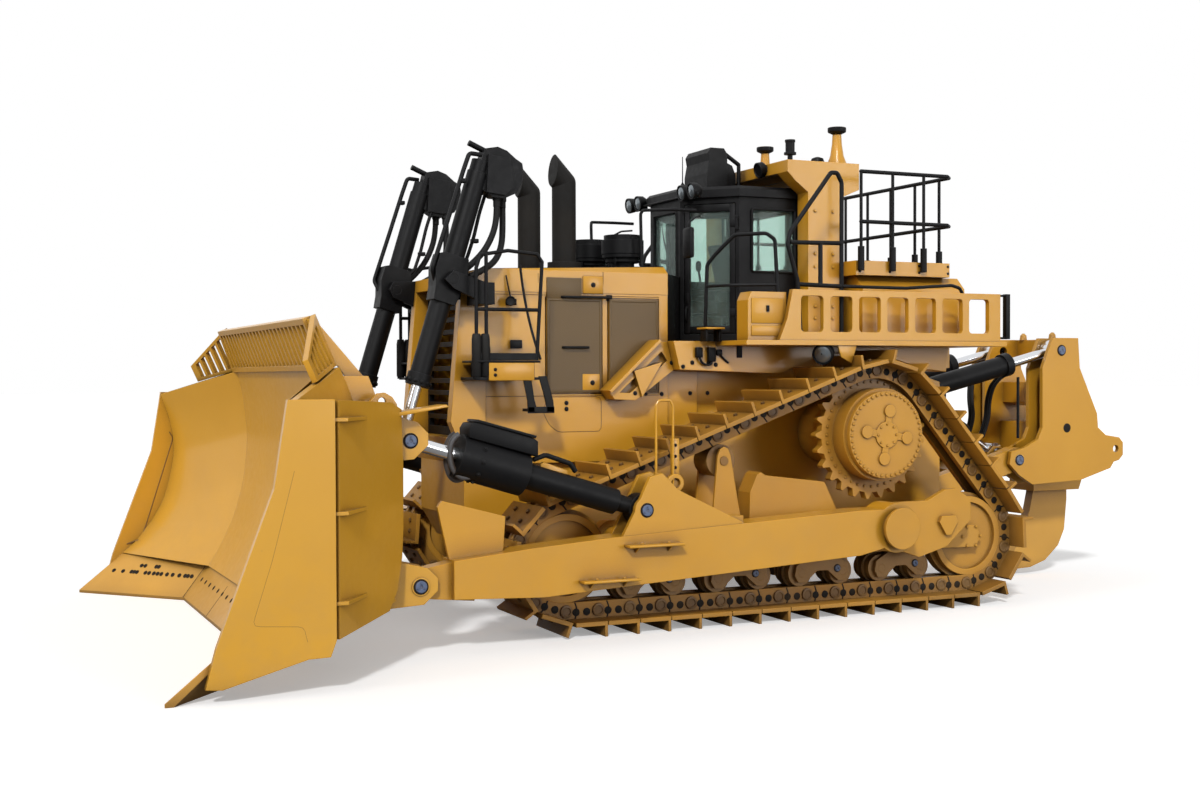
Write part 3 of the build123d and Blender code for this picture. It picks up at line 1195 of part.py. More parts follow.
def ripper_beam():
    """Four side plates, the cross members between them and the shank's pocket."""
    eye = [(-4815, 2734), (-4825, 2790), (-4855, 2815), (-4885, 2790), (-4895, 2734)]
    with BuildPart() as piece:
        for side in SIDES.values():
            for near in (PLATE_IN, PLATE_OUT - SIDE_PLATE):
                ends = (side * near, side * (near + SIDE_PLATE))
                span = (min(ends), max(ends))
                side_plate([(-3920, 1330), (-3945, 1470), (-4130, 1510), (-4320, 1600), (-4380, 1730), (-4380, 2400),
                            (-4470, 2610), (-4530, 2740), (-4890, 2740), (-4915, 2400), (-5170, 1880), (-5185, 1720),
                            (-5300, 1630), (-5500, 1600), (-5557, 1540), (-5557, 1400), (-5500, 1340),
                            (-5420, 1320), (-5370, 1250), (-4930, 1125), (-4240, 1095), (-4060, 1200)], *span)
                cross_bar(*PITCH_HEAD, PITCH_EYE * 0.45, *span, Mode.SUBTRACT)
                cross_bar(*LINK_HEAD, 60 + FIT, *span, Mode.SUBTRACT)
                cross_bar(*TOW_EYE, TOW_EYE_R, *span, Mode.SUBTRACT)
            side_plate(eye, side * 250 - 20, side * 250 + 20)
        half = PLATE_OUT - SIDE_PLATE + 1
        side_plate([(-4600, 1290), (-4600, 1780), (-5180, 1720), (-5290, 1600), (-5290, 1290)], -half, half)
        side_plate([(-4640, 2000), (-4640, 2240), (-4900, 2180), (-4900, 1960)], -half, half)
        block((-4912, -4845), (-half, half), (2500, 2736))
        # pocket round the shank
        side_plate([(-4620, 980), (-4620, 1785), (-5330, 1785), (-5330, 1080), (-5290, 980)],
                   -SHANK_HALF - 150, SHANK_HALF + 150)
        block((-5240 - FIT, -4740 + FIT), (-SHANK_HALF - FIT, SHANK_HALF + FIT), (900, 1900), Mode.SUBTRACT)
    return piece


def ripper_shank():
    """Curved shank with its tip, standing in the beam's pocket."""
    with BuildPart() as piece:
        with BuildSketch(Plane.XZ.offset(-SHANK_HALF)) as face:
            with BuildLine():
                Polyline((-4740, 1780), (-4740, 960), (-4690, 740), (-4560, 430), (-4430, 210), (-4345, 80),
                         (-4480, 66), (-4700, 76), (-4921, 148), (-5115, 315), (-5205, 500), (-5240, 850),
                         (-5240, 1780), close=True)
            make_face()
        extrude(face.sketch, amount=2 * SHANK_HALF)
    return piece


# --------------------------------------------------------------------- build
single = {
    "main_frame": main_frame, "engine_block": engine_block, "radiator_guard": radiator_guard,
    "radiator_grille": radiator_grille, "hood": hood, "exhaust_stacks": exhaust_stacks,
    "air_precleaners": air_precleaners, "fenders": fenders, "platform_guards": platform_guards,
    "cab_shell": cab_shell, "cab_glass": cab_glass, "dash_cowl": dash_cowl, "bulkhead": bulkhead,
    "operator_seat": operator_seat,
    "cab_roof": cab_roof, "roof_cooler": roof_cooler, "tank_tray": tank_tray, "beacon": beacon,
    "rollover_frame": rollover_frame, "fuel_tank": fuel_tank, "rear_railing": rear_railing,
    "final_drives": final_drives, "cross_shafts": cross_shafts, "blade_moldboard": moldboard,
    "cutting_edges": cutting_edges, "spill_guard": spill_guard, "ripper_link": ripper_link,
    "ripper_pins": ripper_pins, "ripper_pitch_pins": pitch_pins, "ripper_beam": ripper_beam, "ripper_shank": ripper_shank,
}
paired = {
    "track": track, "track_frame": track_frame, "cab_door": cab_door, "push_arm": push_arm,
}
joined = {
    "idlers": idlers, "track_rollers": rollers, "sprockets": sprocket, "engine_doors": engine_doors,
    "access_steps": access_steps, "roller_bogies": bogies, "battery_boxes": battery_box,
    "lift_brackets": lift_brackets, "deck_braces": deck_braces,
}
# foot, head, (y, ...), (shell steps, bore from, rod from, rod radius, eye radius, trunnion)
lift_shape = ([(-1150, -1030, 86), (-1040, 1000, 97), (890, 1000, 113)], -950, 270, 50, 110, 112)
tilt_shape = ([(260, 1180, 112), (1160, 1780, 185)], 1000, 1180, 60, TILT_EYE, None)
pitch_shape = ([(170, 1330, 110), (1240, 1330, 130)], 700, 900, 55, PITCH_EYE, None)
rip_lift_shape = ([(150, 1040, 92), (960, 1040, 105)], 120, 437, 45, RIP_LIFT_EYE, None)
cylinders = {
    "blade_lift": (LIFT_TRUNNION, LIFT_HEAD, LIFT_Y, lift_shape, True),
    "blade_tilt": (TILT_FOOT, TILT_HEAD, ARM_Y, tilt_shape, True),
    "ripper_pitch": (PITCH_FOOT, PITCH_HEAD, PITCH_Y, pitch_shape, False),
    "ripper_lift": (RIP_LIFT_FOOT, RIP_LIFT_HEAD, RIP_LIFT_Y, rip_lift_shape, False),
}

for name, make in single.items():
    export(make(), name)
for name, make in paired.items():
    for hand, side in SIDES.items():
        export(make(side), f"{name}_{hand}")
for name, make in joined.items():
    left, right = make(1), make(-1)
    left.part = Compound(children=left.part.solids() + right.part.solids())
    export(left, name)
for name, (foot, head, y, shape, split_up) in cylinders.items():
    if split_up:
        for hand, side in SIDES.items():
            barrel, rod = cylinder(foot, head, [side * y], shape)
            export(barrel, f"{name}_barrel_{hand}")
            export(rod, f"{name}_rod_{hand}")
    else:
        barrel, rod = cylinder(foot, head, [y, -y], shape)
        export(barrel, f"{name}_barrels")
        export(rod, f"{name}_rods")
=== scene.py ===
"""Looks of a large crawler bulldozer: paint, glass, steel and the fittings on its frame.

Metres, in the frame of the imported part: +X forward, +Y the machine's left, +Z up.
"""

from math import acos, atan2, cos, hypot, pi, radians, sin

import bpy
from mathutils import Matrix, Vector


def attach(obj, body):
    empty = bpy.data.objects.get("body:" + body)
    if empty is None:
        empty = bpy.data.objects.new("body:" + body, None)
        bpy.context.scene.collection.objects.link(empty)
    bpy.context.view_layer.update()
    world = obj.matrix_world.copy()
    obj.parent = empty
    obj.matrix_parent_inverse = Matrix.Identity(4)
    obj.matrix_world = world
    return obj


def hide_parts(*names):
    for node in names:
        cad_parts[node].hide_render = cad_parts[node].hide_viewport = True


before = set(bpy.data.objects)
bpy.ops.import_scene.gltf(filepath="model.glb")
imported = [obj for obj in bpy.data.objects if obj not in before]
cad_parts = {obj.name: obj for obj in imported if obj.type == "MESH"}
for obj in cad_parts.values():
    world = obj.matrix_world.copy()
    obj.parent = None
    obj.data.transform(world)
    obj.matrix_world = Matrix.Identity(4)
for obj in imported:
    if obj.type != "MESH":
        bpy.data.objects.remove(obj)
bpy.ops.object.select_all(action="DESELECT")


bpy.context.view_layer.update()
SIDES = {"left": 1, "right": -1}

# ------------------------------------------------------------------ paint shop
YELLOW = (0.640, 0.312, 0.018, 1)
YELLOW_DEEP = (0.520, 0.240, 0.012, 1)
DUST = (0.470, 0.270, 0.075, 1)
# Dark brown of the painted shade in corners, creases and between parts
CORNER_SHADE_COLOR = (0.060, 0.027, 0.006, 1)
BLACK = (0.0045, 0.0045, 0.005, 1)
HOLE_PITCH = 0.016           # of the perforated sheet


def effect(name, inputs, outputs):
    """New node group with its sockets, and its two end nodes."""
    group = bpy.data.node_groups.new(name, "ShaderNodeTree")
    for label, kind, value in inputs:
        socket = group.interface.new_socket(name=label, in_out="INPUT", socket_type=kind)
        socket.default_value = value
    for label, kind in outputs:
        group.interface.new_socket(name=label, in_out="OUTPUT", socket_type=kind)
    start, end = group.nodes.new("NodeGroupInput"), group.nodes.new("NodeGroupOutput")
    return group, start, end


def node(tree, kind, values=(), **settings):
    made = tree.nodes.new(kind)
    for key, value in settings.items():
        setattr(made, key, value)
    for key, value in values:
        made.inputs[key].default_value = value
    return made


def noise(tree, place, scale, detail=4, roughness=0.55):
    made = node(tree, "ShaderNodeTexNoise", [("Scale", scale), ("Detail", detail), ("Roughness", roughness)])
    tree.links.new(place.outputs["Object"], made.inputs["Vector"])
    return made


def ramp(tree, source, low, high, low_value=0.0, high_value=1.0):
    """Value that runs from one level to another between two limits."""
    made = node(tree, "ShaderNodeMapRange", [("From Min", low), ("From Max", high), ("To Min", low_value),
                                             ("To Max", high_value)])
    tree.links.new(source, made.inputs["Value"])
    return made.outputs["Result"]


def feed(tree, value, socket):
    """Wire a socket to another node's output, or set it to a constant."""
    if isinstance(value, bpy.types.NodeSocket):
        tree.links.new(value, socket)
    else:
        socket.default_value = value


def times(tree, first, second, clamp=False):
    """Product of two values."""
    made = node(tree, "ShaderNodeMath", operation="MULTIPLY", use_clamp=clamp)
    feed(tree, first, made.inputs[0])
    feed(tree, second, made.inputs[1])
    return made.outputs[0]


def blend(tree, share, base, other):
    """Base colour with a share of another laid over it."""
    mixed = node(tree, "ShaderNodeMix", data_type="RGBA")
    for key, value in (("Factor", share), ("A", base), ("B", other)):
        feed(tree, value, mixed.inputs[key])
    return mixed.outputs["Result"]


def make_enamel():
    """Sprayed enamel: slow shade drift, faded patches, fine chips and orange peel, with a painted highlight on its
    edges and painted shade in its corners and creases.
    """
    group, start, end = effect("sprayed_enamel", [
        ("Paint", "NodeSocketColor", YELLOW), ("Shade", "NodeSocketColor", YELLOW_DEEP),
        ("Bare", "NodeSocketColor", (0.12, 0.09, 0.06, 1)), ("Highlight Color", "NodeSocketColor", YELLOW),
        ("Corner Shade Color", "NodeSocketColor", CORNER_SHADE_COLOR), ("Drift", "NodeSocketFloat", 0.5), ("Chips", "NodeSocketFloat", 0.2),
        ("Highlight Share", "NodeSocketFloat", 0.5), ("Corner Shade Share", "NodeSocketFloat", 0.7), ("Gloss", "NodeSocketFloat", 0.38)],
        [("Color", "NodeSocketColor"), ("Roughness", "NodeSocketFloat"), ("Height", "NodeSocketFloat")])
    place = node(group, "ShaderNodeTexCoord")
    slow, fine, peel = noise(group, place, 0.9, 3), noise(group, place, 14, 6, 0.7), noise(group, place, 160, 2)
    fade, chip = ramp(group, slow.outputs["Fac"], 0.35, 0.68), ramp(group, fine.outputs["Fac"], 0.70, 0.76)
    shaded = blend(group, times(group, fade, start.outputs["Drift"]), start.outputs["Paint"], start.outputs["Shade"])
    worn = blend(group, times(group, chip, start.outputs["Chips"]), shaded, start.outputs["Bare"])
    gloss = ramp(group, fine.outputs["Fac"], 0.3, 0.75, -0.05, 0.12)
    rough = node(group, "ShaderNodeMath", operation="ADD")
    group.links.new(gloss, rough.inputs[0])
    group.links.new(start.outputs["Gloss"], rough.inputs[1])
    high = node(group, "ShaderNodeMath", operation="MULTIPLY_ADD")
    high.inputs[1].default_value = 0.35
    group.links.new(peel.outputs["Fac"], high.inputs[0])
    group.links.new(fine.outputs["Fac"], high.inputs[2])
    # Painted highlight: where the bevelled normal turns from the face, at edges, the colour is lightened towards the
    # edge colour.
    rounded = node(group, "ShaderNodeBevel", [("Radius", 0.012)], samples=4)
    flat = node(group, "ShaderNodeNewGeometry")
    likeness = node(group, "ShaderNodeVectorMath", operation="DOT_PRODUCT")
    group.links.new(rounded.outputs["Normal"], likeness.inputs[0])
    group.links.new(flat.outputs["Normal"], likeness.inputs[1])
    edge = ramp(group, likeness.outputs["Value"], 0.86, 0.985, 1.0, 0.0)
    highlighted = blend(group, times(group, edge, start.outputs["Highlight Share"]), worn, start.outputs["Highlight Color"])
    # Painted shade: ambient occlusion darkens corners, creases and the gaps between parts towards the dark corner
    # colour.
    corner = node(group, "ShaderNodeAmbientOcclusion", [("Distance", 0.22)], samples=5)
    corner_shade_mask = ramp(group, corner.outputs["AO"], 0.34, 0.93, 1.0, 0.0)
    corner_shaded = blend(group, times(group, corner_shade_mask, start.outputs["Corner Shade Share"]), highlighted, start.outputs["Corner Shade Color"])
    group.links.new(corner_shaded, end.inputs["Color"])
    group.links.new(rough.outputs[0], end.inputs["Roughness"])
    group.links.new(high.outputs[0], end.inputs["Height"])
    return group


def make_settled_dust():
    """Dust that gathers low down, in patches."""
    group, start, end = effect("settled_dust", [
        ("Color", "NodeSocketColor", YELLOW), ("Dust", "NodeSocketColor", DUST),
        ("Amount", "NodeSocketFloat", 0.3), ("Top", "NodeSocketFloat", 1.6)], [("Color", "NodeSocketColor"),
                                                                              ("Mask", "NodeSocketFloat")])
    place = node(group, "ShaderNodeTexCoord")
    split = node(group, "ShaderNodeSeparateXYZ")
    group.links.new(place.outputs["Object"], split.inputs[0])
    low = node(group, "ShaderNodeMapRange", [("From Min", 0.0), ("To Min", 1.0), ("To Max", 0.0)])
    group.links.new(split.outputs["Z"], low.inputs["Value"])
    group.links.new(start.outputs["Top"], low.inputs["From Max"])
    cloud = noise(group, place, 3.5, 5, 0.65)
    patch = ramp(group, cloud.outputs["Fac"], 0.38, 0.66)
    mask = times(group, times(group, low.outputs["Result"], patch), start.outputs["Amount"], True)
    group.links.new(blend(group, mask, start.outputs["Color"], start.outputs["Dust"]), end.inputs["Color"])
    group.links.new(mask, end.inputs["Mask"])
    return group


ENAMEL, SETTLED = make_enamel(), make_settled_dust()


def new_material(name):
    made = bpy.data.materials.new(name)
    made.use_nodes = True
    tree = made.node_tree
    return made, tree, tree.nodes["Principled BSDF"]


def painted(name, paint, shade, gloss=0.38, drift=0.5, chips=0.2, dust=0.3, top=1.6, coat=0.25, metallic=0.0,
            bump=0.06, bare=(0.12, 0.09, 0.06, 1), dust_color=DUST, sheen=0.4, edge=None, corner_shade_color=CORNER_SHADE_COLOR, highlight_share=0.6,
            corner_shade_share=0.85):
    """Enamelled or coated metal with its wear and dust, a painted highlight on its edges and painted shade in its
    corners.
    """
    made, tree, shader = new_material(name)
    coat_of = node(tree, "ShaderNodeGroup", node_tree=ENAMEL)
    # Colour of the painted edge highlight: the paint a quarter lighter unless one is given.
    edge = edge or tuple(min(1.0, value * 1.25) for value in paint)
    for key, value in (("Paint", paint), ("Shade", shade), ("Bare", bare), ("Drift", drift), ("Chips", chips),
                       ("Gloss", gloss), ("Highlight Color", edge), ("Corner Shade Color", corner_shade_color), ("Highlight Share", highlight_share), ("Corner Shade Share", corner_shade_share)):
        coat_of.inputs[key].default_value = value
    over = node(tree, "ShaderNodeGroup", node_tree=SETTLED)
    for key, value in (("Dust", dust_color), ("Amount", dust), ("Top", top)):
        over.inputs[key].default_value = value
    relief = node(tree, "ShaderNodeBump", [("Strength", bump), ("Distance", 0.004)])
    rounded = node(tree, "ShaderNodeBevel", [("Radius", 0.010)], samples=4)
    tree.links.new(rounded.outputs["Normal"], relief.inputs["Normal"])
    tree.links.new(coat_of.outputs["Color"], over.inputs["Color"])
    tree.links.new(over.outputs["Color"], shader.inputs["Base Color"])
    tree.links.new(coat_of.outputs["Roughness"], shader.inputs["Roughness"])
    tree.links.new(coat_of.outputs["Height"], relief.inputs["Height"])
    tree.links.new(relief.outputs["Normal"], shader.inputs["Normal"])
    shader.inputs["Metallic"].default_value = metallic
    shader.inputs["Coat Weight"].default_value = coat
    shader.inputs["Coat Roughness"].default_value = 0.15
    shader.inputs["Specular IOR Level"].default_value = sheen
    return made


# Each finish below has a painted highlight along its edges and painted shade in its corners and creases; the dark
# ones give their own colours for both.
machine_yellow = painted("machine_yellow", YELLOW, YELLOW_DEEP)
blade_yellow = painted("blade_yellow", (0.680, 0.345, 0.026, 1), (0.580, 0.280, 0.016, 1), gloss=0.34, drift=0.35,
                       coat=0.35)
under_yellow = painted("undercarriage_yellow", (0.610, 0.295, 0.024, 1), (0.430, 0.200, 0.020, 1), gloss=0.45,
                       drift=0.8, chips=0.3, dust=0.35, top=2.2, coat=0.1)
track_yellow = painted("track_yellow", (0.560, 0.265, 0.024, 1), (0.300, 0.140, 0.018, 1), gloss=0.5, drift=1.0,
                       chips=0.5, dust=0.25, top=2.6, coat=0.05)
roller_brown = painted("roller_brown", (0.330, 0.165, 0.034, 1), (0.170, 0.088, 0.024, 1), gloss=0.5, drift=1.0,
                       chips=0.5, dust=0.4, coat=0.05)
satin_black = painted("satin_black", BLACK, (0.007, 0.007, 0.008, 1), gloss=0.46, sheen=0.16, drift=0.6, chips=0.12,
                      dust=0.03,
                      top=4.5, coat=0.0, bare=(0.04, 0.04, 0.04, 1), dust_color=(0.06, 0.05, 0.035, 1),
                      edge=(0.030, 0.030, 0.032, 1), corner_shade_color=(0.001, 0.001, 0.001, 1))
soot_black = painted("soot_black", (0.006, 0.006, 0.006, 1), (0.014, 0.012, 0.010, 1), gloss=0.62, sheen=0.18,
                     drift=1.0,
                     chips=0.1, dust=0.05, top=4.5, coat=0.0, edge=(0.03, 0.03, 0.03, 1),
                     corner_shade_color=(0.002, 0.002, 0.002, 1))
rubber = painted("hose_rubber", (0.007, 0.007, 0.008, 1), (0.014, 0.014, 0.013, 1), gloss=0.6, sheen=0.2, drift=0.8,
                 chips=0.05,
                 dust=0.1, top=4.0, coat=0.0, bump=0.12, dust_color=(0.12, 0.10, 0.07, 1),
                 corner_shade_color=(0.002, 0.002, 0.002, 1))
bright_steel = painted("bright_steel", (0.55, 0.55, 0.56, 1), (0.42, 0.42, 0.43, 1), gloss=0.2, drift=0.6,
                       chips=0.1, dust=0.0, coat=0.0, metallic=1.0, bump=0.02, corner_shade_share=0.5)
cut_steel = painted("cutting_steel", (0.680, 0.350, 0.050, 1), (0.520, 0.262, 0.040, 1), gloss=0.42, drift=0.7,
                    chips=0.35, dust=0.15, top=1.2, coat=0.2)
pin_blue = painted("pin_cap_blue", (0.075, 0.120, 0.230, 1), (0.130, 0.170, 0.260, 1), gloss=0.35, drift=0.8,
                   chips=0.2, dust=0.1, coat=0.2)
track_brown = painted("track_brown", (0.235, 0.118, 0.026, 1), (0.120, 0.062, 0.018, 1), gloss=0.5, drift=1.0,
                      chips=0.5, dust=0.3, coat=0.05)
# Dark brown of painted shadow lines along seams, plate edges and creases
shadow_line_brown = painted("seam_shadow_line", (0.215, 0.105, 0.020, 1), (0.140, 0.070, 0.016, 1), gloss=0.5, drift=0.8, chips=0.2,
                     dust=0.1, coat=0.0)
hose_grey = painted("hose_grey", (0.060, 0.062, 0.068, 1), (0.095, 0.097, 0.105, 1), gloss=0.45, drift=0.8, chips=0.1,
                    dust=0.1, top=4.0, coat=0.1, bump=0.12, dust_color=(0.16, 0.13, 0.09, 1))
trim = painted("seat_cloth", (0.018, 0.018, 0.020, 1), (0.034, 0.034, 0.036, 1), gloss=0.75, drift=1.0, chips=0.0,
               dust=0.0, coat=0.0, bump=0.3, highlight_share=0.0, corner_shade_share=0.4)


def make_chrome():
    """Ground and plated rod with fine turning marks."""
    made, tree, shader = new_material("plated_rod")
    place = node(tree, "ShaderNodeTexCoord")
    marks = noise(tree, place, 60, 3)
    tree.links.new(ramp(tree, marks.outputs["Fac"], 0.3, 0.7, 0.08, 0.2), shader.inputs["Roughness"])
    shader.inputs["Base Color"].default_value = (0.72, 0.73, 0.75, 1)
    shader.inputs["Metallic"].default_value = 1.0
    return made


def make_glass():
    """Green-tinted cab glass with faint streaks."""
    made, tree, shader = new_material("tinted_glass")
    place = node(tree, "ShaderNodeTexCoord")
    streak = noise(tree, place, 7, 4)
    tree.links.new(ramp(tree, streak.outputs["Fac"], 0.4, 0.8, 0.03, 0.09), shader.inputs["Roughness"])
    shader.inputs["Base Color"].default_value = (0.66, 0.82, 0.76, 1)
    shader.inputs["Transmission Weight"].default_value = 0.92
    shader.inputs["IOR"].default_value = 1.15
    return made


def make_lamp_glass():
    """Dark, faintly ribbed lamp lens."""
    made, tree, shader = new_material("lamp_lens")
    place = node(tree, "ShaderNodeTexCoord")
    ribs = noise(tree, place, 90, 2)
    tree.links.new(ramp(tree, ribs.outputs["Fac"], 0.35, 0.65, 0.08, 0.22), shader.inputs["Roughness"])
    relief = node(tree, "ShaderNodeBump", [("Strength", 0.4), ("Distance", 0.002)])
    tree.links.new(ribs.outputs["Fac"], relief.inputs["Height"])
    tree.links.new(relief.outputs["Normal"], shader.inputs["Normal"])
    shader.inputs["Base Color"].default_value = (0.22, 0.25, 0.27, 1)
    shader.inputs["Metallic"].default_value = 0.7
    return made


def make_mesh_sheet():
    """Sheet with rows of small round holes, the holes painted near-black as painted shade of the space behind."""
    made, tree, shader = new_material("perforated_sheet")
    place = node(tree, "ShaderNodeTexCoord")
    split = node(tree, "ShaderNodeSeparateXYZ")
    tree.links.new(place.outputs["Object"], split.inputs[0])
    waves = []
    for axis in ("X", "Z"):
        wave = node(tree, "ShaderNodeMath", operation="SINE")
        tree.links.new(times(tree, split.outputs[axis], 2 * pi / HOLE_PITCH), wave.inputs[0])
        waves.append(wave.outputs[0])
    holes = ramp(tree, times(tree, *waves), 0.1, 0.35)
    slow = noise(tree, place, 1.6, 3)
    tint = blend(tree, slow.outputs["Fac"], (0.175, 0.098, 0.018, 1), (0.105, 0.060, 0.014, 1))
    # Near-black in the holes: painted shade of the engine bay seen through the sheet.
    tree.links.new(blend(tree, holes, tint, (0.040, 0.024, 0.012, 1)), shader.inputs["Base Color"])
    relief = node(tree, "ShaderNodeBump", [("Strength", 0.3), ("Distance", 0.003)])
    relief.invert = True
    tree.links.new(holes, relief.inputs["Height"])
    tree.links.new(relief.outputs["Normal"], shader.inputs["Normal"])
    shader.inputs["Roughness"].default_value = 0.45
    return made


plated, glass, perforated = make_chrome(), make_glass(), make_mesh_sheet()
lamp_glass = make_lamp_glass()

SLOT_OF = {
    machine_yellow: "yellow_paint", blade_yellow: "yellow_paint", under_yellow: "yellow_paint",
    shadow_line_brown: "yellow_paint", perforated: "engine_panel", lamp_glass: "cab_glass", glass: "cab_glass",
    trim: "seat_trim", pin_blue: "chrome_rod", bright_steel: "chrome_rod", track_brown: "worn_steel",
}

FINISH = {
    machine_yellow: ["main_frame", "radiator_guard", "hood", "fenders", "fuel_tank", "tank_tray", "rollover_frame",
                     "platform_guards", "push_arm_left", "push_arm_right", "ripper_beam", "ripper_link",
                     "engine_doors", "battery_boxes", "cross_shafts", "bulkhead", "deck_braces"],
    blade_yellow: ["blade_moldboard", "spill_guard"],
    cut_steel: ["cutting_edges", "ripper_shank"],
    under_yellow: ["track_frame_left", "track_frame_right", "final_drives", "sprockets", "idlers"],
    track_yellow: ["track_left", "track_right"],
    roller_brown: ["track_rollers", "roller_bogies", "engine_block"],
    satin_black: ["cab_shell", "cab_door_left", "cab_door_right", "cab_roof", "roof_cooler", "beacon", "rear_railing",
                  "access_steps", "dash_cowl", "radiator_grille", "blade_tilt_barrel_left", "blade_tilt_barrel_right",
                  "blade_lift_barrel_left", "blade_lift_barrel_right", "ripper_pitch_barrels",
                  "ripper_lift_barrels", "air_precleaners", "lift_brackets"],
    soot_black: ["exhaust_stacks"],
    plated: ["blade_lift_rod_left", "blade_lift_rod_right", "blade_tilt_rod_left", "blade_tilt_rod_right",
             "ripper_pitch_rods", "ripper_lift_rods"],
    bright_steel: ["ripper_pins", "ripper_pitch_pins"],
    glass: ["cab_glass"],
    trim: ["operator_seat"],
}


def dress(part, made):
    """Give a frame part its finish."""
    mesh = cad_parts[part].data
    if not mesh.materials:
        mesh.materials.append(made)
    for i in range(len(mesh.materials)):
        mesh.materials[i] = made


for made, parts in FINISH.items():
    for part in parts:
        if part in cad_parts:
            dress(part, made)


# -------------------------------------------------------------------- workshop
def only(*pieces):
    """Select these objects alone, the first one active."""
    bpy.ops.object.select_all(action="DESELECT")
    for piece in pieces:
        piece.select_set(True)
    bpy.context.view_layer.objects.active = pieces[0]


def shape(piece, test, kind="FACE"):
    """Open a piece in edit mode with the faces that pass a test selected."""
    only(piece)
    for face in piece.data.polygons:
        face.select = bool(test(face))
    for edge in piece.data.edges:
        edge.select = False
    for corner in piece.data.vertices:
        corner.select = False
    bpy.ops.object.mode_set(mode="EDIT")
    bpy.ops.mesh.select_mode(type="FACE")
    if kind != "FACE":
        bpy.ops.mesh.select_mode(type=kind)


def shut():
    bpy.ops.object.mode_set(mode="OBJECT")


def span(side, near, far, start=0):
    """Limits in Y of something on one side of the machine, lowest first."""
    return sorted((start + side * near, start + side * far))


def freeze(piece):
    only(piece)
    bpy.ops.object.transform_apply(location=True, rotation=True, scale=True)


def stand(piece, at, toward=(0, 0, 1), level="Y"):
    """Put a piece that was made on the origin at its place, its Z along a direction."""
    turn = Vector(toward).normalized().to_track_quat("Z", level).to_matrix().to_4x4()
    piece.matrix_world = Matrix.Translation(Vector(at)) @ turn
    freeze(piece)
    return piece


def join(pieces):
    only(*pieces)
    if len(pieces) > 1:
        bpy.ops.object.join()
    return bpy.context.object


def fit(piece, name, made, body="chassis", slot=None, smooth=35):
    """Name a finished piece, coat it, and hang it on its body."""
    freeze(piece)
    if smooth:
        bpy.ops.object.shade_smooth_by_angle(angle=radians(smooth))
    piece.name = piece.data.name = name
    piece.data.materials.clear()
    piece.data.materials.append(made)
    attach(piece, body)
    slot = slot or SLOT_OF.get(made, "black_paint")
    return piece


def slab(x, y, z, edge=0.006, steps=2):
    """Block between pairs of limits with its edges eased."""
    sizes = [abs(b - a) for a, b in (x, y, z)]
    bpy.ops.mesh.primitive_cube_add(size=1, location=[(a + b) / 2 for a, b in (x, y, z)])
    piece = bpy.context.object
    piece.scale = sizes
    freeze(piece)
    if edge:
        shape(piece, lambda face: True)
        bpy.ops.mesh.bevel(offset=min(edge, min(sizes) * 0.45), segments=steps, affect="EDGES")
        shut()
    return piece


def turned(profile, sides=24, at=(0, 0, 0), toward=(0, 0, 1)):
    """Piece turned on a lathe: radius and height of each step, closed at both ends."""
    (radius, height), rest = profile[0], profile[1:]
    bpy.ops.mesh.primitive_circle_add(vertices=sides, radius=max(radius, 0.0005), fill_type="NGON",
                                      location=(0, 0, height))
    piece = bpy.context.object
    shape(piece, lambda face: True)
    bpy.ops.mesh.flip_normals()
    for next_radius, next_height in rest:
        bpy.ops.mesh.extrude_region_move(TRANSFORM_OT_translate={"value": (0, 0, next_height - height)})
        grow = max(next_radius, 0.0005) / max(radius, 0.0005)
        bpy.ops.transform.resize(value=(grow, grow, 1), center_override=(0, 0, next_height))
        radius, height = next_radius, next_height
    bpy.ops.mesh.select_all(action="SELECT")
    bpy.ops.mesh.normals_make_consistent(inside=False)
    shut()
    freeze(piece)
    return stand(piece, at, toward)


def tube(route, radius, bend=0.0, sides=3, smoothness=8):
    """Round bar or hose along a route, its corners eased by the bend given."""
    points = [Vector(point) for point in route]
    if bend:
        corners = [points[0]]
        for before, corner, after in zip(points, points[1:], points[2:]):
            reach_in = min(bend, (before - corner).length * 0.48)
            reach_out = min(bend, (after - corner).length * 0.48)
            corners += [corner + (before - corner).normalized() * reach_in, corner,
                      corner + (after - corner).normalized() * reach_out]
        points = corners + [points[-1]]
    curve = bpy.data.curves.new("tube", "CURVE")
    curve.dimensions = "3D"
    line = curve.splines.new("NURBS")
    line.points.add(len(points) - 1)
    for spot, point in zip(line.points, points):
        spot.co = (*point, 1)
    line.order_u = 3
    line.use_endpoint_u = True
    line.resolution_u = smoothness
    curve.bevel_depth = radius
    curve.bevel_resolution = sides
    curve.use_fill_caps = True
    piece = bpy.data.objects.new("tube", curve)
    bpy.context.collection.objects.link(piece)
    only(piece)
    bpy.ops.object.convert(target="MESH")
    return bpy.context.object


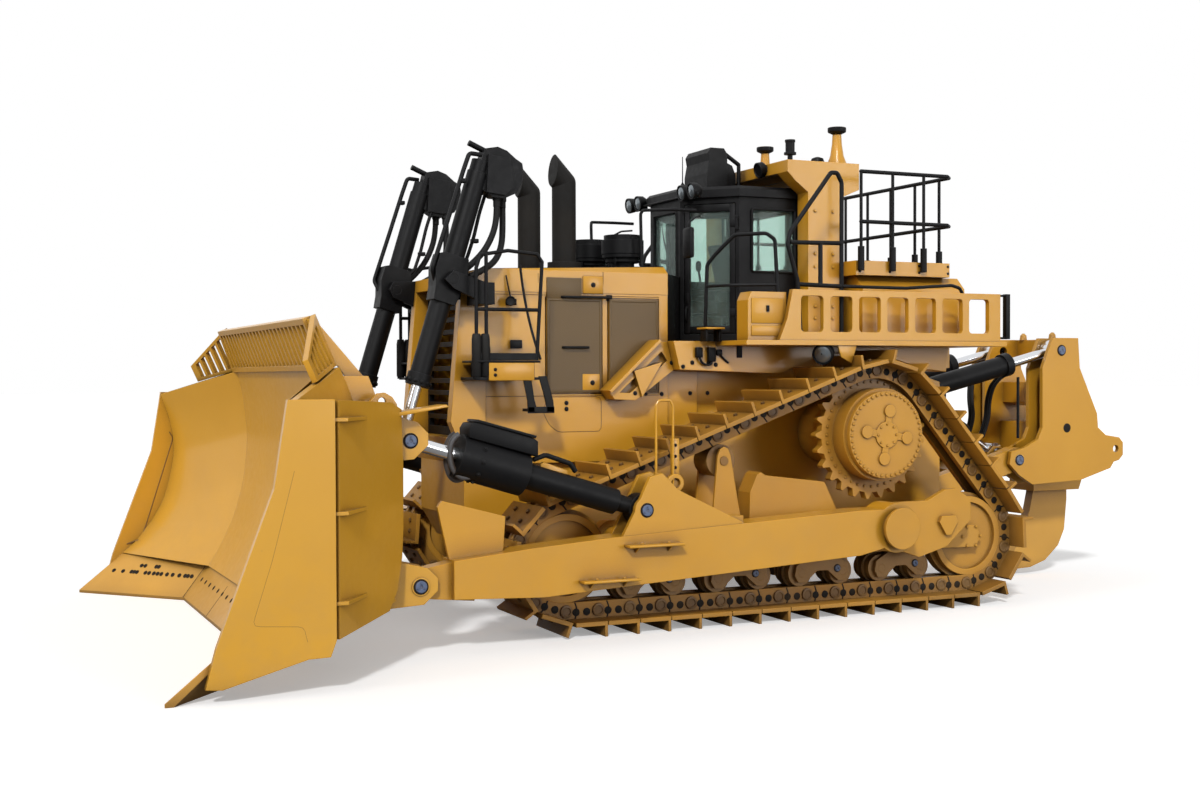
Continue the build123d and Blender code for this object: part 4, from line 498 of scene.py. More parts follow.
def cutout(outline, plane, low, high, edge=0.003):
    """Flat plate cut to an outline in the XZ, XY or YZ plane, between two levels of the third axis."""
    curve = bpy.data.curves.new("cutout", "CURVE")
    curve.dimensions = "2D"
    curve.fill_mode = "BOTH"
    line = curve.splines.new("POLY")
    line.points.add(len(outline) - 1)
    for spot, (a, b) in zip(line.points, outline):
        spot.co = (a, b, 0, 1)
    line.use_cyclic_u = True
    curve.extrude = max(abs(high - low) / 2 - edge, 0.0005)
    curve.bevel_depth = edge
    curve.bevel_resolution = 1
    curve.offset = -edge
    piece = bpy.data.objects.new("cutout", curve)
    bpy.context.collection.objects.link(piece)
    only(piece)
    bpy.ops.object.convert(target="MESH")
    piece = bpy.context.object
    middle = (low + high) / 2
    piece.matrix_world = {
        "XY": Matrix.Translation((0, 0, middle)),
        "XZ": Matrix.Translation((0, middle, 0)) @ Matrix.Rotation(radians(90), 4, "X"),
        "YZ": Matrix.Translation((middle, 0, 0)) @ Matrix(((0, 0, 1, 0), (1, 0, 0, 0), (0, 1, 0, 0), (0, 0, 0, 1))),
    }[plane]
    freeze(piece)
    shape(piece, lambda face: True)
    bpy.ops.mesh.remove_doubles(threshold=0.0001)
    bpy.ops.mesh.normals_make_consistent(inside=False)
    shut()
    return piece


def bolt(size):
    """Hexagon head on its washer, standing on the origin."""
    washer = turned([(size * 0.8, 0), (size * 0.8, size * 0.14)], 14)
    head = turned([(size * 0.55, size * 0.14), (size * 0.55, size * 0.5), (size * 0.44, size * 0.58)], 6)
    return join([washer, head])


def scatter(pattern, places):
    """Copies of one pattern, each at a point and facing a direction, joined."""
    copies = []
    for at, toward in places:
        copy = pattern.copy()
        copy.data = pattern.data.copy()
        bpy.context.collection.objects.link(copy)
        turn = Vector(toward).normalized().to_track_quat("Z", "Y").to_matrix().to_4x4()
        copy.matrix_world = Matrix.Translation(Vector(at)) @ turn
        copies.append(copy)
    bpy.data.objects.remove(pattern)
    return join(copies)


def both(make):
    """Make a piece for each side of the machine."""
    for hand, side in SIDES.items():
        make(hand, side)


def face_of(start, toward, *parts):
    """Point and normal where a line meets the nearest of these frame parts."""
    start, toward, found = Vector(start), Vector(toward).normalized(), None
    for part in parts:
        hit, point, normal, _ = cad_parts[part].ray_cast(start, toward)
        if hit and (found is None or (point - start).length < (found[0] - start).length):
            found = (point, normal)
    return found


def on_face(spots, toward, *parts, sink=0.001):
    """Places for small fittings on a surface, each facing out of it."""
    places = []
    for spot in spots:
        found = face_of(spot, toward, *parts)
        if found:
            places.append((found[0] - found[1] * sink, found[1]))
    return places


def gland_bolts(name, body, foot, head, reach, count, turn, size):
    """Ring of bolts round a cylinder's gland, at a distance from its foot pin."""
    axis = (head - foot).normalized()
    across = axis.cross(Vector((0, 1, 0))).normalized()
    places = []
    for i in range(count):
        a = 2 * pi * (i + turn) / count
        ray = across * cos(a) + Vector((0, 1, 0)) * sin(a)
        found = face_of(foot + axis * reach + ray * 0.6, -ray, body)
        if found:
            places.append((found[0], ray))
    fit(scatter(bolt(size), places), name, satin_black, body)


bpy.context.view_layer.update()

# Pins and centres of the frame in a side view: x, z
LIFT_FOOT, LIFT_HEAD = (2.713, 3.200), (3.422, 0.850)
TILT_FOOT, TILT_HEAD = (1.323, 1.149), (3.466, 1.800)
ARM_PIN, TRUNNION = (3.387, 0.605), (-1.310, 0.880)
FRONT_IDLER, REAR_IDLER, SPROCKET = (1.840, 0.690), (-2.605, 0.690), (-1.490, 1.742)
RIPPER_HEAD, RIPPER_LINK = (-4.650, 2.600), (-4.057, 1.374)
# Distances from the middle
LIFT_Y, TILT_Y, ARM_FACE, TRACK_MIDDLE = 0.880, 2.040, 2.190, 1.448
SEAM_REACH = 3.1792          # a hair outside the end plates
# Slanted cab wall that holds the door, in plan: its front end, its direction and its width
CAB_NOSE, DOOR_RUN, DOOR_WIDTH = (0.040, 0.340), (-0.6829, 0.7305), 0.6297
OFF = 3.0                    # rays start this far out, clear of everything


def beside(point, y):
    """Point in space from a side-view point."""
    return Vector((point[0], y, point[1]))


# ------------------------------------------------------------- blade cylinders
def lift_lines(hand, side):
    """Pipes and hoses of a blade lift cylinder, from its valve block down the barrel."""
    body, y = f"blade_lift_barrel_{hand}", side * LIFT_Y
    out = side * 0.075
    pipe = tube([(2.40, y + out, 4.35), (2.52, y + out, 4.36), (2.578, y + out, 4.20), (2.71, y + out, 3.80),
                 (2.878, y + out, 3.30), (2.84, y + out * 0.4, 3.20)], 0.021, 0.07)
    back = tube([(2.30, y - out, 4.05), (2.37, y - out, 3.84), (2.43, y - out, 3.60), (2.50, y - out, 3.40),
                 (2.60, y - out * 0.5, 3.32)], 0.017, 0.08)
    clamps = [slab((2.555, 2.615), (y + out - 0.035, y + out + 0.035), (4.085, 4.125), 0.008),
              slab((2.385, 2.455), (y - out - 0.03, y - out + 0.03), (3.555, 3.595), 0.008)]
    fit(join([pipe, back] + clamps), f"lift_pipes_{hand}", satin_black, body)
    hoses = [tube([(2.235, y + side * 0.02, 3.99), (2.235, y + side * 0.03, 3.80), (2.285, y + side * 0.04, 3.61),
                   (2.40, y + side * 0.03, 3.42), (2.53, y, 3.31)], 0.030),
             tube([(2.155, y - side * 0.05, 3.99), (2.145, y - side * 0.06, 3.74), (2.16, y - side * 0.06, 3.50),
                   (2.28, y - side * 0.03, 3.33), (2.50, y, 3.24)], 0.030)]
    ends = [turned([(0.040, 0), (0.040, 0.05), (0.034, 0.055), (0.034, 0.11)], 12, at, toward)
            for at, toward in (((2.235, y + side * 0.02, 4.00), (0, 0, -1)),
                               ((2.155, y - side * 0.05, 4.00), (0, 0, -1)))]
    fit(join(hoses + ends), f"lift_hoses_{hand}", rubber, body)
    gland_bolts(f"lift_gland_bolts_{hand}", body, beside(LIFT_FOOT, y), beside(LIFT_HEAD, y), 0.965, 12, 0, 0.026)


both(lift_lines)


# ------------------------------------------------------------------- bonnet top
def hood_rail(hand, side):
    """Low black grab rail on the hood beside the cab."""
    y = side * 0.60
    rail = tube([(0.60, y, 3.36), (0.613, y, 3.92), (0.60, y + side * 0.02, 3.955), (0.30, y + side * 0.11, 3.968),
                 (0.06, y + side * 0.12, 3.968)], 0.016, 0.06)
    foot = turned([(0.034, 0), (0.034, 0.012), (0.022, 0.018), (0.022, 0.05)], 14, (0.60, y, 3.385))
    fit(join([rail, foot]), f"mirror_hoop_{hand}", satin_black)


both(hood_rail)


def filter_clamps():
    """Bands and toggle latches round the two air filter canisters."""
    pieces = []
    for x, y in ((0.670, 0.300), (0.760, -0.300)):
        found = face_of((x + 0.8, y, 3.50), (-1, 0, 0), "air_precleaners")
        radius = found[0].x - x if found else 0.18
        pieces.append(turned([(radius + 0.001, 3.455), (radius + 0.008, 3.46), (radius + 0.008, 3.49),
                              (radius + 0.001, 3.495)], 40, (x, y, 0)))
        for i in range(3):
            a = radians(40 + 120 * i)
            latch = slab((-0.012, 0.012), (-0.004, 0.018), (3.43, 3.53), 0.005)
            latch.matrix_world = (Matrix.Translation((x + cos(a) * (radius + 0.004), y + sin(a) * (radius + 0.004),
                                                      0))
                                  @ Matrix.Rotation(a - pi / 2, 4, "Z"))
            freeze(latch)
            pieces.append(latch)
    fit(join(pieces), "filter_clamps", satin_black)


filter_clamps()


# ----------------------------------------------------------------- engine doors
DOOR_BAYS = ((1.105, 1.675), (0.495, 1.025))
DOOR_Z = (2.165, 3.065)


def engine_door_sheets(hand, side):
    """Perforated sheets in the door frames, with handles and corner plates."""
    sheets = []
    for low, high in DOOR_BAYS:
        found = face_of(((low + high) / 2, side * 2, 2.6), (0, -side, 0), "engine_doors")
        y = found[0].y
        if low > 1:
            sheets.append(slab((1.315, high), span(side, 0.738, 0.751), (3.050, 3.262), 0.003))
        sheet = slab((low, high), span(side, -0.002, 0.010, y), DOOR_Z, 0.003)
        shape(sheet, lambda face: face.normal.y * side > 0.9 and face.area > 0.1)
        bpy.ops.mesh.inset(thickness=0.018)
        bpy.ops.mesh.inset(thickness=0.006, depth=-0.006)
        shut()
        sheets.append(sheet)
    fit(join(sheets), f"engine_door_mesh_{hand}", perforated)
    y = side * 0.745
    handles = []
    for low, high, z in ((1.02, 1.53, 3.078), (1.24, 1.52, 2.598)):
        handles.append(tube([(low, y - side * 0.02, z), (low + 0.02, y + side * 0.040, z),
                             (high - 0.02, y + side * 0.040, z), (high, y - side * 0.02, z)], 0.013, 0.03))
        for x in (low, high):
            handles.append(slab((x - 0.03, x + 0.03), span(side, -0.03, 0.004, y),
                                (z - 0.028, z + 0.028), 0.004))
    fit(join(handles), f"engine_door_handles_{hand}", satin_black)
    plates, bolts = [], []
    for x, z in ((1.195, 3.200), (1.205, 2.260)):
        plates.append(slab((x - 0.105, x + 0.105), span(side, 0.738, 0.753), (z - 0.085, z + 0.085), 0.006))
        bolts.append(((x, side * 0.752, z), (0, side, 0)))
    fit(join(plates), f"door_corner_plates_{hand}", machine_yellow)
    fit(scatter(bolt(0.030), bolts), f"door_corner_bolts_{hand}", satin_black)


both(engine_door_sheets)


def hull_bolts(hand, side):
    """Bolt heads along the hull, the braces and the lower side panels."""
    spots = [(1.471, 2.067), (1.471, 2.009), (0.845, 2.158), (0.452, 2.145), (0.452, 2.451), (0.297, 2.451),
             (0.118, 2.451), (0.039, 2.431), (0.397, 2.412), (0.628, 2.147), (0.118, 2.15), (-0.10, 2.15)]
    places = on_face([(x, side * 2.2, z) for x, z in spots], (0, -side, 0), "main_frame", "engine_doors", "bulkhead",
                     "deck_braces", "fenders")
    fit(scatter(bolt(0.027), places), f"hull_bolts_{hand}", satin_black)


both(hull_bolts)


# ---------------------------------------------------------------------- the cab
def cab_seals():
    """Rubber seals round the cab's fixed windows."""
    pieces = []
    for side in (1, -1):
        y = side * 0.8135
        loop = [(-1.03, y, 3.37), (-1.03, y, 4.00), (-0.53, y, 4.00), (-0.53, y, 3.37), (-1.03, y, 3.37)]
        pieces.append(tube(loop, 0.011, 0.05))
    loop = [(-1.1105, 0.63, 3.41), (-1.1105, 0.63, 4.00), (-1.1105, -0.63, 4.00), (-1.1105, -0.63, 3.41),
            (-1.1105, 0.63, 3.41)]
    pieces.append(tube(loop, 0.011, 0.05))
    loop = [(0.041, 0.26, 3.01), (0.041, 0.26, 4.00), (0.041, -0.26, 4.00), (0.041, -0.26, 3.01), (0.041, 0.26, 3.01)]
    pieces.append(tube(loop, 0.011, 0.05))
    fit(join(pieces), "cab_window_seals", rubber)


cab_seals()


def cab_top():
    """Antenna, roof edge lamps and the gutter bead of the cab roof."""
    whip = turned([(0.022, 0), (0.022, 0.03), (0.010, 0.05), (0.006, 0.06), (0.004, 0.31), (0.006, 0.315)], 12,
                  (0.042, 0.40, 4.226))
    bead = tube([(0.078, 0.80, 4.13), (0.078, -0.80, 4.13)], 0.010)
    fit(join([whip, bead]), "cab_antenna", satin_black)
    pieces, lenses = [], []
    for side in (1, -1):
        for x, y in ((0.10, 0.72), (0.10, 0.50)):
            housing = turned([(0.045, -0.09), (0.075, -0.05), (0.082, 0.0), (0.082, 0.02), (0.070, 0.02),
                              (0.066, 0.008)], 20, (x, side * y, 4.16), (1, 0, -0.15))
            pieces.append(housing)
            pieces.append(slab((x - 0.10, x - 0.02), sorted((side * (y - 0.02), side * (y + 0.02))), (4.10, 4.15),
                               0.006))
            lenses.append(turned([(0.064, 0.010), (0.050, 0.020), (0.001, 0.024)], 20, (x, side * y, 4.16),
                                 (1, 0, -0.15)))
    fit(join(pieces), "roof_lamps", satin_black)
    fit(join(lenses), "roof_lamp_lenses", lamp_glass)


cab_top()


def mirrors(hand, side):
    """Rear-view mirror on its arm at the cab's front corner."""
    at = Vector((0.26, side * 0.95, 3.62))
    arm = tube([(0.045, side * 0.78, 3.90), (0.12, side * 0.90, 3.90), at + Vector((0, 0, 0.20)), at], 0.010, 0.04)
    shell = slab((at.x - 0.020, at.x + 0.030), (at.y - 0.085, at.y + 0.085), (at.z - 0.15, at.z + 0.15), 0.022, 3)
    fit(join([arm, shell]), f"mirror_{hand}", satin_black)
    face = slab((at.x - 0.0225, at.x - 0.0195), (at.y - 0.070, at.y + 0.070), (at.z - 0.13, at.z + 0.13), 0.001)
    fit(face, f"mirror_face_{hand}", bright_steel)


both(mirrors)


# ------------------------------------------------------------------- handrails
def deck_rails(hand, side):
    """Black tube rails that guard the deck beside the cab."""
    hoop = [(0.140, side * 1.05, 2.655), (0.140, side * 1.10, 3.40), (0.09, side * 1.18, 3.50),
            (-0.03, side * 1.34, 3.675), (-0.25, side * 1.56, 3.68), (-0.33, side * 1.585, 3.62),
            (-0.36, side * 1.585, 3.10)]
    bars = [tube(hoop, 0.019, 0.06), tube([(0.140, side * 1.09, 3.19), (0.050, side * 1.36, 3.19),
                                           (-0.345, side * 1.585, 3.19)], 0.015, 0.05)]
    y = side * 1.585
    for route in ([(-1.08, y, 2.655), (-1.083, y, 4.20), (-1.03, y, 4.29), (-0.96, y, 4.29), (-0.50, y, 3.70),
                   (-0.47, y, 3.58), (-0.58, y, 3.24), (-0.62, y, 2.655)],
                  [(-0.50, y, 3.60), (-1.083, y, 3.61)], [(-0.84, y, 3.61), (-0.84, y, 3.20)],
                  [(-0.60, y, 3.20), (-1.083, y, 3.19)]):
        bars.append(tube(route, 0.022, 0.05))
    feet = [turned([(0.042, 0), (0.042, 0.012), (0.028, 0.016), (0.028, 0.09), (0.020, 0.10)], 14, (x, fy, 2.658))
            for x, fy in ((0.140, side * 1.05), (-1.08, y), (-0.62, y))]
    fit(join(bars + feet), f"deck_rails_{hand}", satin_black)
    y = side * 1.635
    curved = tube([(-1.083, side * 1.60, 3.19), (-1.80, y, 3.185), (-2.36, y, 3.225), (-2.46, y, 3.20),
                   (-2.52, y, 3.10)],
                  0.017, 0.05)
    grab = tube([(-2.93, y, 3.130), (-3.06, y, 3.135), (-3.06, y, 2.70), (-2.93, y, 2.70)], 0.012, 0.02)
    plate = cutout([(-3.075, 2.69), (-3.025, 2.69), (-3.025, 3.15), (-3.075, 3.15)], "XZ", y - 0.03, y + 0.03, 0.004)
    fit(join([curved, grab, plate]), f"rear_grab_bar_{hand}", satin_black)
    fit(slab((0.03, 0.235), span(side, 1.06, 1.26), (2.772, 2.79), 0.006), f"door_step_{hand}",
        machine_yellow)
    legs = [slab((x - 0.012, x + 0.012), (side * 1.16 - 0.06, side * 1.16 + 0.06), (2.655, 2.775), 0.004)
            for x in (0.06, 0.205)]
    fit(join(legs), f"door_step_legs_{hand}", satin_black)


both(deck_rails)


def pin_caps(spots, side, radius, name, body, *parts):
    """Blue pin ends on the outer faces under these spots, each in a dark retaining ring with small bolts."""
    caps, rings, heads = [], [], []
    for x, z in spots:
        found = face_of((x + radius * 1.35, side * 5, z), (0, -side, 0), *parts)
        if not found:
            continue
        at = (x, found[0].y - side * 0.004, z)
        caps.append(turned([(radius, -0.03), (radius, 0.014), (radius * 0.93, 0.018), (radius * 0.30, 0.018),
                            (radius * 0.26, 0.012)], 28, at, (0, side, 0)))
        rings.append(turned([(radius * 1.30, 0), (radius * 1.30, 0.005), (radius * 1.22, 0.008), (radius, 0.008)], 28,
                            at,
                            (0, side, 0)))
        for i in range(3):
            a = pi / 2 + 2 * pi * i / 3
            heads.append(((x + cos(a) * radius * 0.62, at[1] + side * 0.018, z + sin(a) * radius * 0.62),
                          (0, side, 0)))
    if caps:
        fit(join(caps + [scatter(bolt(radius * 0.22), heads)]), name, pin_blue, body)
        fit(join(rings), name + "_rings", soot_black, body)


# --------------------------------------------------------------- tilt cylinders
def tilt_fittings(hand, side):
    """Hose cover, grab loop, hoses and gland bolts of a blade tilt cylinder."""
    body, y = f"blade_tilt_barrel_{hand}", side * TILT_Y
    cover = cutout([(2.33, 1.640), (2.33, 1.770), (2.37, 1.800), (2.86, 1.940), (2.92, 1.936), (2.95, 1.890),
                    (2.95, 1.815)], "XZ", *span(side, -0.150, 0.110, y), 0.012)
    lid = cutout([(2.36, 1.800), (2.88, 1.944), (2.87, 1.965), (2.35, 1.820)], "XZ",
                 *span(side, -0.160, 0.125, y), 0.004)
    loop = tube([(2.345, y + side * 0.02, 1.612), (2.23, y + side * 0.02, 1.650), (2.00, y + side * 0.02, 1.570),
                 (1.95, y + side * 0.02, 1.498)], 0.022, 0.04)
    fit(join([cover, lid, loop]), f"tilt_cover_{hand}", satin_black, body)
    pad = cutout([(2.03, 1.455), (2.03, 1.515), (2.25, 1.590), (2.28, 1.575), (2.28, 1.50)], "XZ",
                 *span(side, -0.02, 0.03, y), 0.006)
    fit(pad, f"tilt_guard_plate_{hand}", machine_yellow, body)
    hoses = []
    for shift, low in ((0.05, 0.02), (-0.05, 0.06)):
        hoses.append(tube([(3.02, y + shift, 1.84), (3.10, y + shift, 1.80), (3.10, y + shift, 1.60 - low),
                           (3.00, y + shift * 1.6, 1.48 - low), (2.90, y + shift * 1.4, 1.50)], 0.026))
    fit(join(hoses), f"tilt_hoses_{hand}", hose_grey, body)
    gland_bolts(f"tilt_gland_bolts_{hand}", body, beside(TILT_FOOT, y), beside(TILT_HEAD, y), 1.60, 10, 0.5, 0.028)


both(tilt_fittings)


def arm_fittings(hand, side):
    """Steps, hand loop, post, pin cap, trunnion cap and eye that ride on a push arm."""
    face = side * ARM_FACE
    steps = []
    for x, z in ((1.28, 0.850), (1.71, 0.565)):
        plate = slab((x - 0.27, x + 0.27), span(side, -0.01, 0.120, face), (z - 0.012, z + 0.012), 0.008)
        steps.append(plate)
        for shift in (-0.16, 0.16):
            steps.append(cutout([(face - side * 0.01, z), (face + side * 0.10, z), (face - side * 0.01, z - 0.075)],
                                "YZ",
                                x + shift - 0.008, x + shift + 0.008))
    heads = [((x + shift, face + side * 0.07, z + 0.012), (0, 0, 1)) for x, z in ((1.28, 0.850), (1.71, 0.565))
             for shift in (-0.13, 0.13)]
    steps.append(scatter(bolt(0.026), heads))
    hoop = tube([(1.12, side * 1.95, 1.22), (1.12, side * 1.95, 2.06), (1.09, side * 1.95, 2.105),
                 (0.98, side * 1.95, 2.105),
                 (0.95, side * 1.95, 2.05), (0.95, side * 1.95, 1.22)], 0.012, 0.04)
    post = slab((0.875, 0.955), span(side, 1.90, 1.93), (1.20, 1.76), 0.006)
    fit(join(steps + [hoop, post]), f"push_arm_steps_{hand}", machine_yellow, "push_arms")
    heads = [((0.915, side * 1.93, z), (0, side, 0)) for z in (1.40, 1.50, 1.60, 1.70)]
    fit(scatter(bolt(0.018), heads), f"push_arm_post_bolts_{hand}", satin_black, "push_arms")
    pin_caps([TILT_FOOT], side, 0.050, f"tilt_foot_pin_{hand}", "push_arms", f"push_arm_{hand}")
    cap = turned([(0.165, 0), (0.165, 0.020), (0.156, 0.026), (0.128, 0.026), (0.124, 0.008), (0.104, 0.008),
                  (0.100, 0.024),
                  (0.060, 0.026), (0.050, 0.016)], 40, beside(TRUNNION, face), (0, side, 0))
    around = [((TRUNNION[0] + 0.078 * cos(a), face + side * 0.024, TRUNNION[1] + 0.078 * sin(a)), (0, side, 0))
              for a in (0.5, 2.6, 4.7)]
    fit(join([cap, scatter(bolt(0.034), around)]), f"trunnion_cap_{hand}", machine_yellow, "push_arms")
    groove = turned([(0.127, 0.004), (0.127, 0.010), (0.105, 0.010), (0.105, 0.004)], 40, beside(TRUNNION, face),
                    (0, side, 0))
    fit(groove, f"trunnion_groove_{hand}", soot_black, "push_arms")
    r = 0.085
    eye = turned([(r, 0), (r, 0.03), (r * 0.92, 0.036), (r * 0.55, 0.036), (r * 0.5, 0.004), (0.01, 0.004)], 28,
                 (0.93, side * 1.93, 1.36), (0, side, 0))
    fit(eye, f"push_arm_eye_{hand}", machine_yellow, "push_arms")


both(arm_fittings)


# ------------------------------------------------------------------------ blade
def seam(points, toward, *parts, radius=0.006, steps=0.09):
    """Thin line that follows a surface under straight strokes."""
    route = []
    for start, end in zip(points, points[1:]):
        start, end = Vector(start), Vector(end)
        count = max(2, int((end - start).length / steps))
        for i in range(count + (end == Vector(points[-1]))):
            found = face_of(start.lerp(end, i / count), toward, *parts)
            if found:
                route.append(found[0] - found[1].normalized() * radius * 0.6)
    return tube(route, radius, 0, 1, 2) if len(route) > 2 else None


def blade_detail():
    """Dark lines along the blade's plate edges and creases, weld seams drawn as painted shadow lines, with the bolts
    and joints of its cutting edges.
    """
    lines = []
    for side in (1, -1):
        y = side * 4.0
        strokes = [([(4.645, y, 1.645), (4.806, y, 1.011), (4.954, y, 0.541), (4.584, y, 0.514), (4.555, y, 0.400)],
                    (0, -side, 0)),
                   ([(4.600, side * 2.9, 1.720), (4.560, side * 2.9, 1.650), (4.900, side * 2.9, 0.560),
                     (5.060, side * 2.9, 0.500)], (0, side, 0))]
        for stroke, toward in strokes:
            made = seam(stroke, toward, "blade_moldboard", radius=0.009)
            if made:
                for corner in made.data.vertices:
                    corner.co.y = side * min(abs(corner.co.y), SEAM_REACH)
                lines.append(made)
    fit(join(lines), "blade_seam_shadow_lines", shadow_line_brown, "blade")
    spots = [(7, -1.84 + 0.23 * i, 0.235) for i in range(17)]
    for side in (1, -1):
        for share in (0.10, 0.20, 0.29, 0.32, 0.35, 0.44, 0.48, 0.53, 0.57, 0.61, 0.67, 0.73, 0.80, 0.86, 0.89, 0.93):
            spots.append((7, side * (3.10 - 1.05 * share), 0.235))
        spots += [(7, side * (3.10 - 1.05 * share), 0.300) for share in (0.33, 0.37, 0.49, 0.52)]
    holes = on_face(spots, (-1, 0, 0), "cutting_edges", sink=0.001)
    plug = turned([(0.024, 0), (0.024, 0.004), (0.017, 0.006), (0.013, 0.002)], 12)
    fit(scatter(plug, holes), "edge_bolts", soot_black, "blade", "worn_steel")
    strokes = [[(7, side * 2.06, 0.36), (7, side * 2.06, 0.03)] for side in (1, -1)]
    strokes += [[(7, y, 0.36), (7, y, 0.03)] for y in (-0.7, 0.7)]
    joints = [seam(stroke, (-1, 0, 0), "cutting_edges", steps=0.05) for stroke in strokes]
    fit(join([piece for piece in joints if piece]), "edge_joints", soot_black, "blade", "worn_steel")


blade_detail()


def eased(points, steps=6):
    """Smooth run through a few chosen points of a side view."""
    ends = [points[0]] + list(points) + [points[-1]]
    run = []
    for near in zip(ends, ends[1:], ends[2:], ends[3:]):
        for i in range(steps):
            t = i / steps
            spot = []
            for p, q, r, s in zip(*near):
                square, cube = 2 * p - 5 * q + 4 * r - s, 3 * q - p - 3 * r + s
                spot.append(0.5 * (2 * q + (r - p) * t + square * t * t + cube * t ** 3))
            run.append(tuple(spot))
    return run + [tuple(points[-1])]


def blade_liner():
    """Plate over the blade's face: a straight middle and two wings drawn forward.

    The frame's stiffener beams and tilt lugs stand through its curved sheet, and this plate hides them.
    Its middle is flatter than the sheet, up to 0.12 m in front of it.
    """
    middle = eased([(4.402, 0.370), (4.288, 0.560), (4.210, 0.720), (4.134, 0.900), (4.040, 1.250), (3.999, 1.650),
                    (4.005, 1.850), (4.036, 2.120), (4.092, 2.386)])
    tip = eased([(5.104, 0.408), (4.948, 0.550), (4.855, 0.670), (4.777, 0.780), (4.655, 1.020), (4.566, 1.400),
                 (4.556, 1.620), (4.598, 1.860), (4.692, 2.138)])
    bpy.ops.mesh.primitive_grid_add(x_subdivisions=3, y_subdivisions=len(middle) - 1, size=1)
    sheet = bpy.context.object
    for corner in sheet.data.vertices:
        column, row = round((corner.co.x + 0.5) * 3), round((corner.co.y + 0.5) * (len(middle) - 1))
        x, z = (tip if column in (0, 3) else middle)[row]
        corner.co = (x, (-3.115, -1.850, 1.850, 3.115)[column], z)
    shape(sheet, lambda face: True)
    bpy.ops.mesh.normals_make_consistent(inside=False)
    shut()
    thick = sheet.modifiers.new("thick", "SOLIDIFY")
    thick.thickness, thick.offset = 0.006, 0.0
    only(sheet)
    bpy.ops.object.modifier_apply(modifier="thick")
    fit(sheet, "blade_liner", blade_yellow, "blade", smooth=18)


blade_liner()


def hood_panels(hand, side):
    """Painted shadow lines along the seams and round the lower side panel of the engine cover."""
    lines = []
    for stroke in ([(1.085, side * 3, 3.11), (1.085, side * 3, 3.33)],
                   [(1.760, side * 3, 3.11), (1.760, side * 3, 3.30)],
                   [(1.665, side * 3, 2.125), (1.105, side * 3, 2.125), (1.105, side * 3, 1.790),
                    (1.560, side * 3, 1.790),
                    (1.650, side * 3, 1.860), (1.715, side * 3, 1.985), (1.665, side * 3, 2.125)],
                   [(2.290, side * 3, 2.135), (0.480, side * 3, 2.135)],
                   [(0.480, side * 3, 3.095), (2.290, side * 3, 3.095)]):
        made = seam(stroke, (0, -side, 0), "engine_doors", "hood", radius=0.005)
        if made:
            lines.append(made)
    fit(join(lines), f"hood_seam_shadow_lines_{hand}", shadow_line_brown)


both(hood_panels)


def hood_top():
    """Black glare sheet on top of the engine cover."""
    sheet = cutout([(0.392, 3.3995), (2.292, 3.3295), (2.292, 3.338), (0.392, 3.408)], "XZ", -0.652, 0.652, 0.002)
    fit(sheet, "hood_glare_sheet", satin_black)


hood_top()


def blade_side(hand, side):
    """Top plate and pin caps behind the blade."""
    y = side * 2.25
    top = cutout([(3.176, 2.075), (3.20, 2.095), (3.62, 2.035), (3.60, 2.005)], "XZ", *span(side, -0.17, 0.06, y),
                 0.006)
    fit(top, f"blade_top_plate_{hand}", blade_yellow, "blade")
    pin_caps([TILT_HEAD, ARM_PIN], side, 0.050, f"blade_pins_{hand}", "blade", "blade_moldboard",
             f"blade_tilt_rod_{hand}")


both(blade_side)


# --------------------------------------------------------------- undercarriage
LINK_PITCH, IDLER_RADIUS, SPROCKET_TEETH = 0.3175, 0.480, 25
WHEELS = ((*FRONT_IDLER, IDLER_RADIUS), (*REAR_IDLER, IDLER_RADIUS),
          (*SPROCKET, SPROCKET_TEETH * LINK_PITCH / 2 / (2 * pi)))


def pin_line():
    """Pins of one track in a side view, each with the direction that faces away from the loop."""
    pieces = []
    angles = []
    for (x0, z0, r0), (x1, z1, r1) in zip(WHEELS, WHEELS[1:] + WHEELS[:1]):
        angles.append(atan2(z1 - z0, x1 - x0) + acos((r0 - r1) / hypot(x1 - x0, z1 - z0)))
    for i, (x0, z0, r0) in enumerate(WHEELS):
        x1, z1, r1 = WHEELS[(i + 1) % 3]
        a = angles[i]
        start, end = (x0 + r0 * cos(a), z0 + r0 * sin(a)), (x1 + r1 * cos(a), z1 + r1 * sin(a))
        pieces.append(("run", (start, end, a), hypot(end[0] - start[0], end[1] - start[1])))
        turn = (angles[i] - angles[(i + 1) % 3]) % (2 * pi)
        pieces.append(("turn", ((x1, z1), r1, a, turn), r1 * turn))
    total = sum(length for _, _, length in pieces)
    count = round(total / LINK_PITCH)
    pins = []
    for i in range(count):
        along = i * total / count
        for kind, data, length in pieces:
            if along <= length:
                break
            along -= length
        if kind == "run":
            start, end, a = data
            t = along / length
            pins.append((start[0] + (end[0] - start[0]) * t, start[1] + (end[1] - start[1]) * t, a))
        else:
            centre, r, a, turn = data
            a -= turn * along / length
            pins.append((centre[0] + r * cos(a), centre[1] + r * sin(a), a))
    return pins


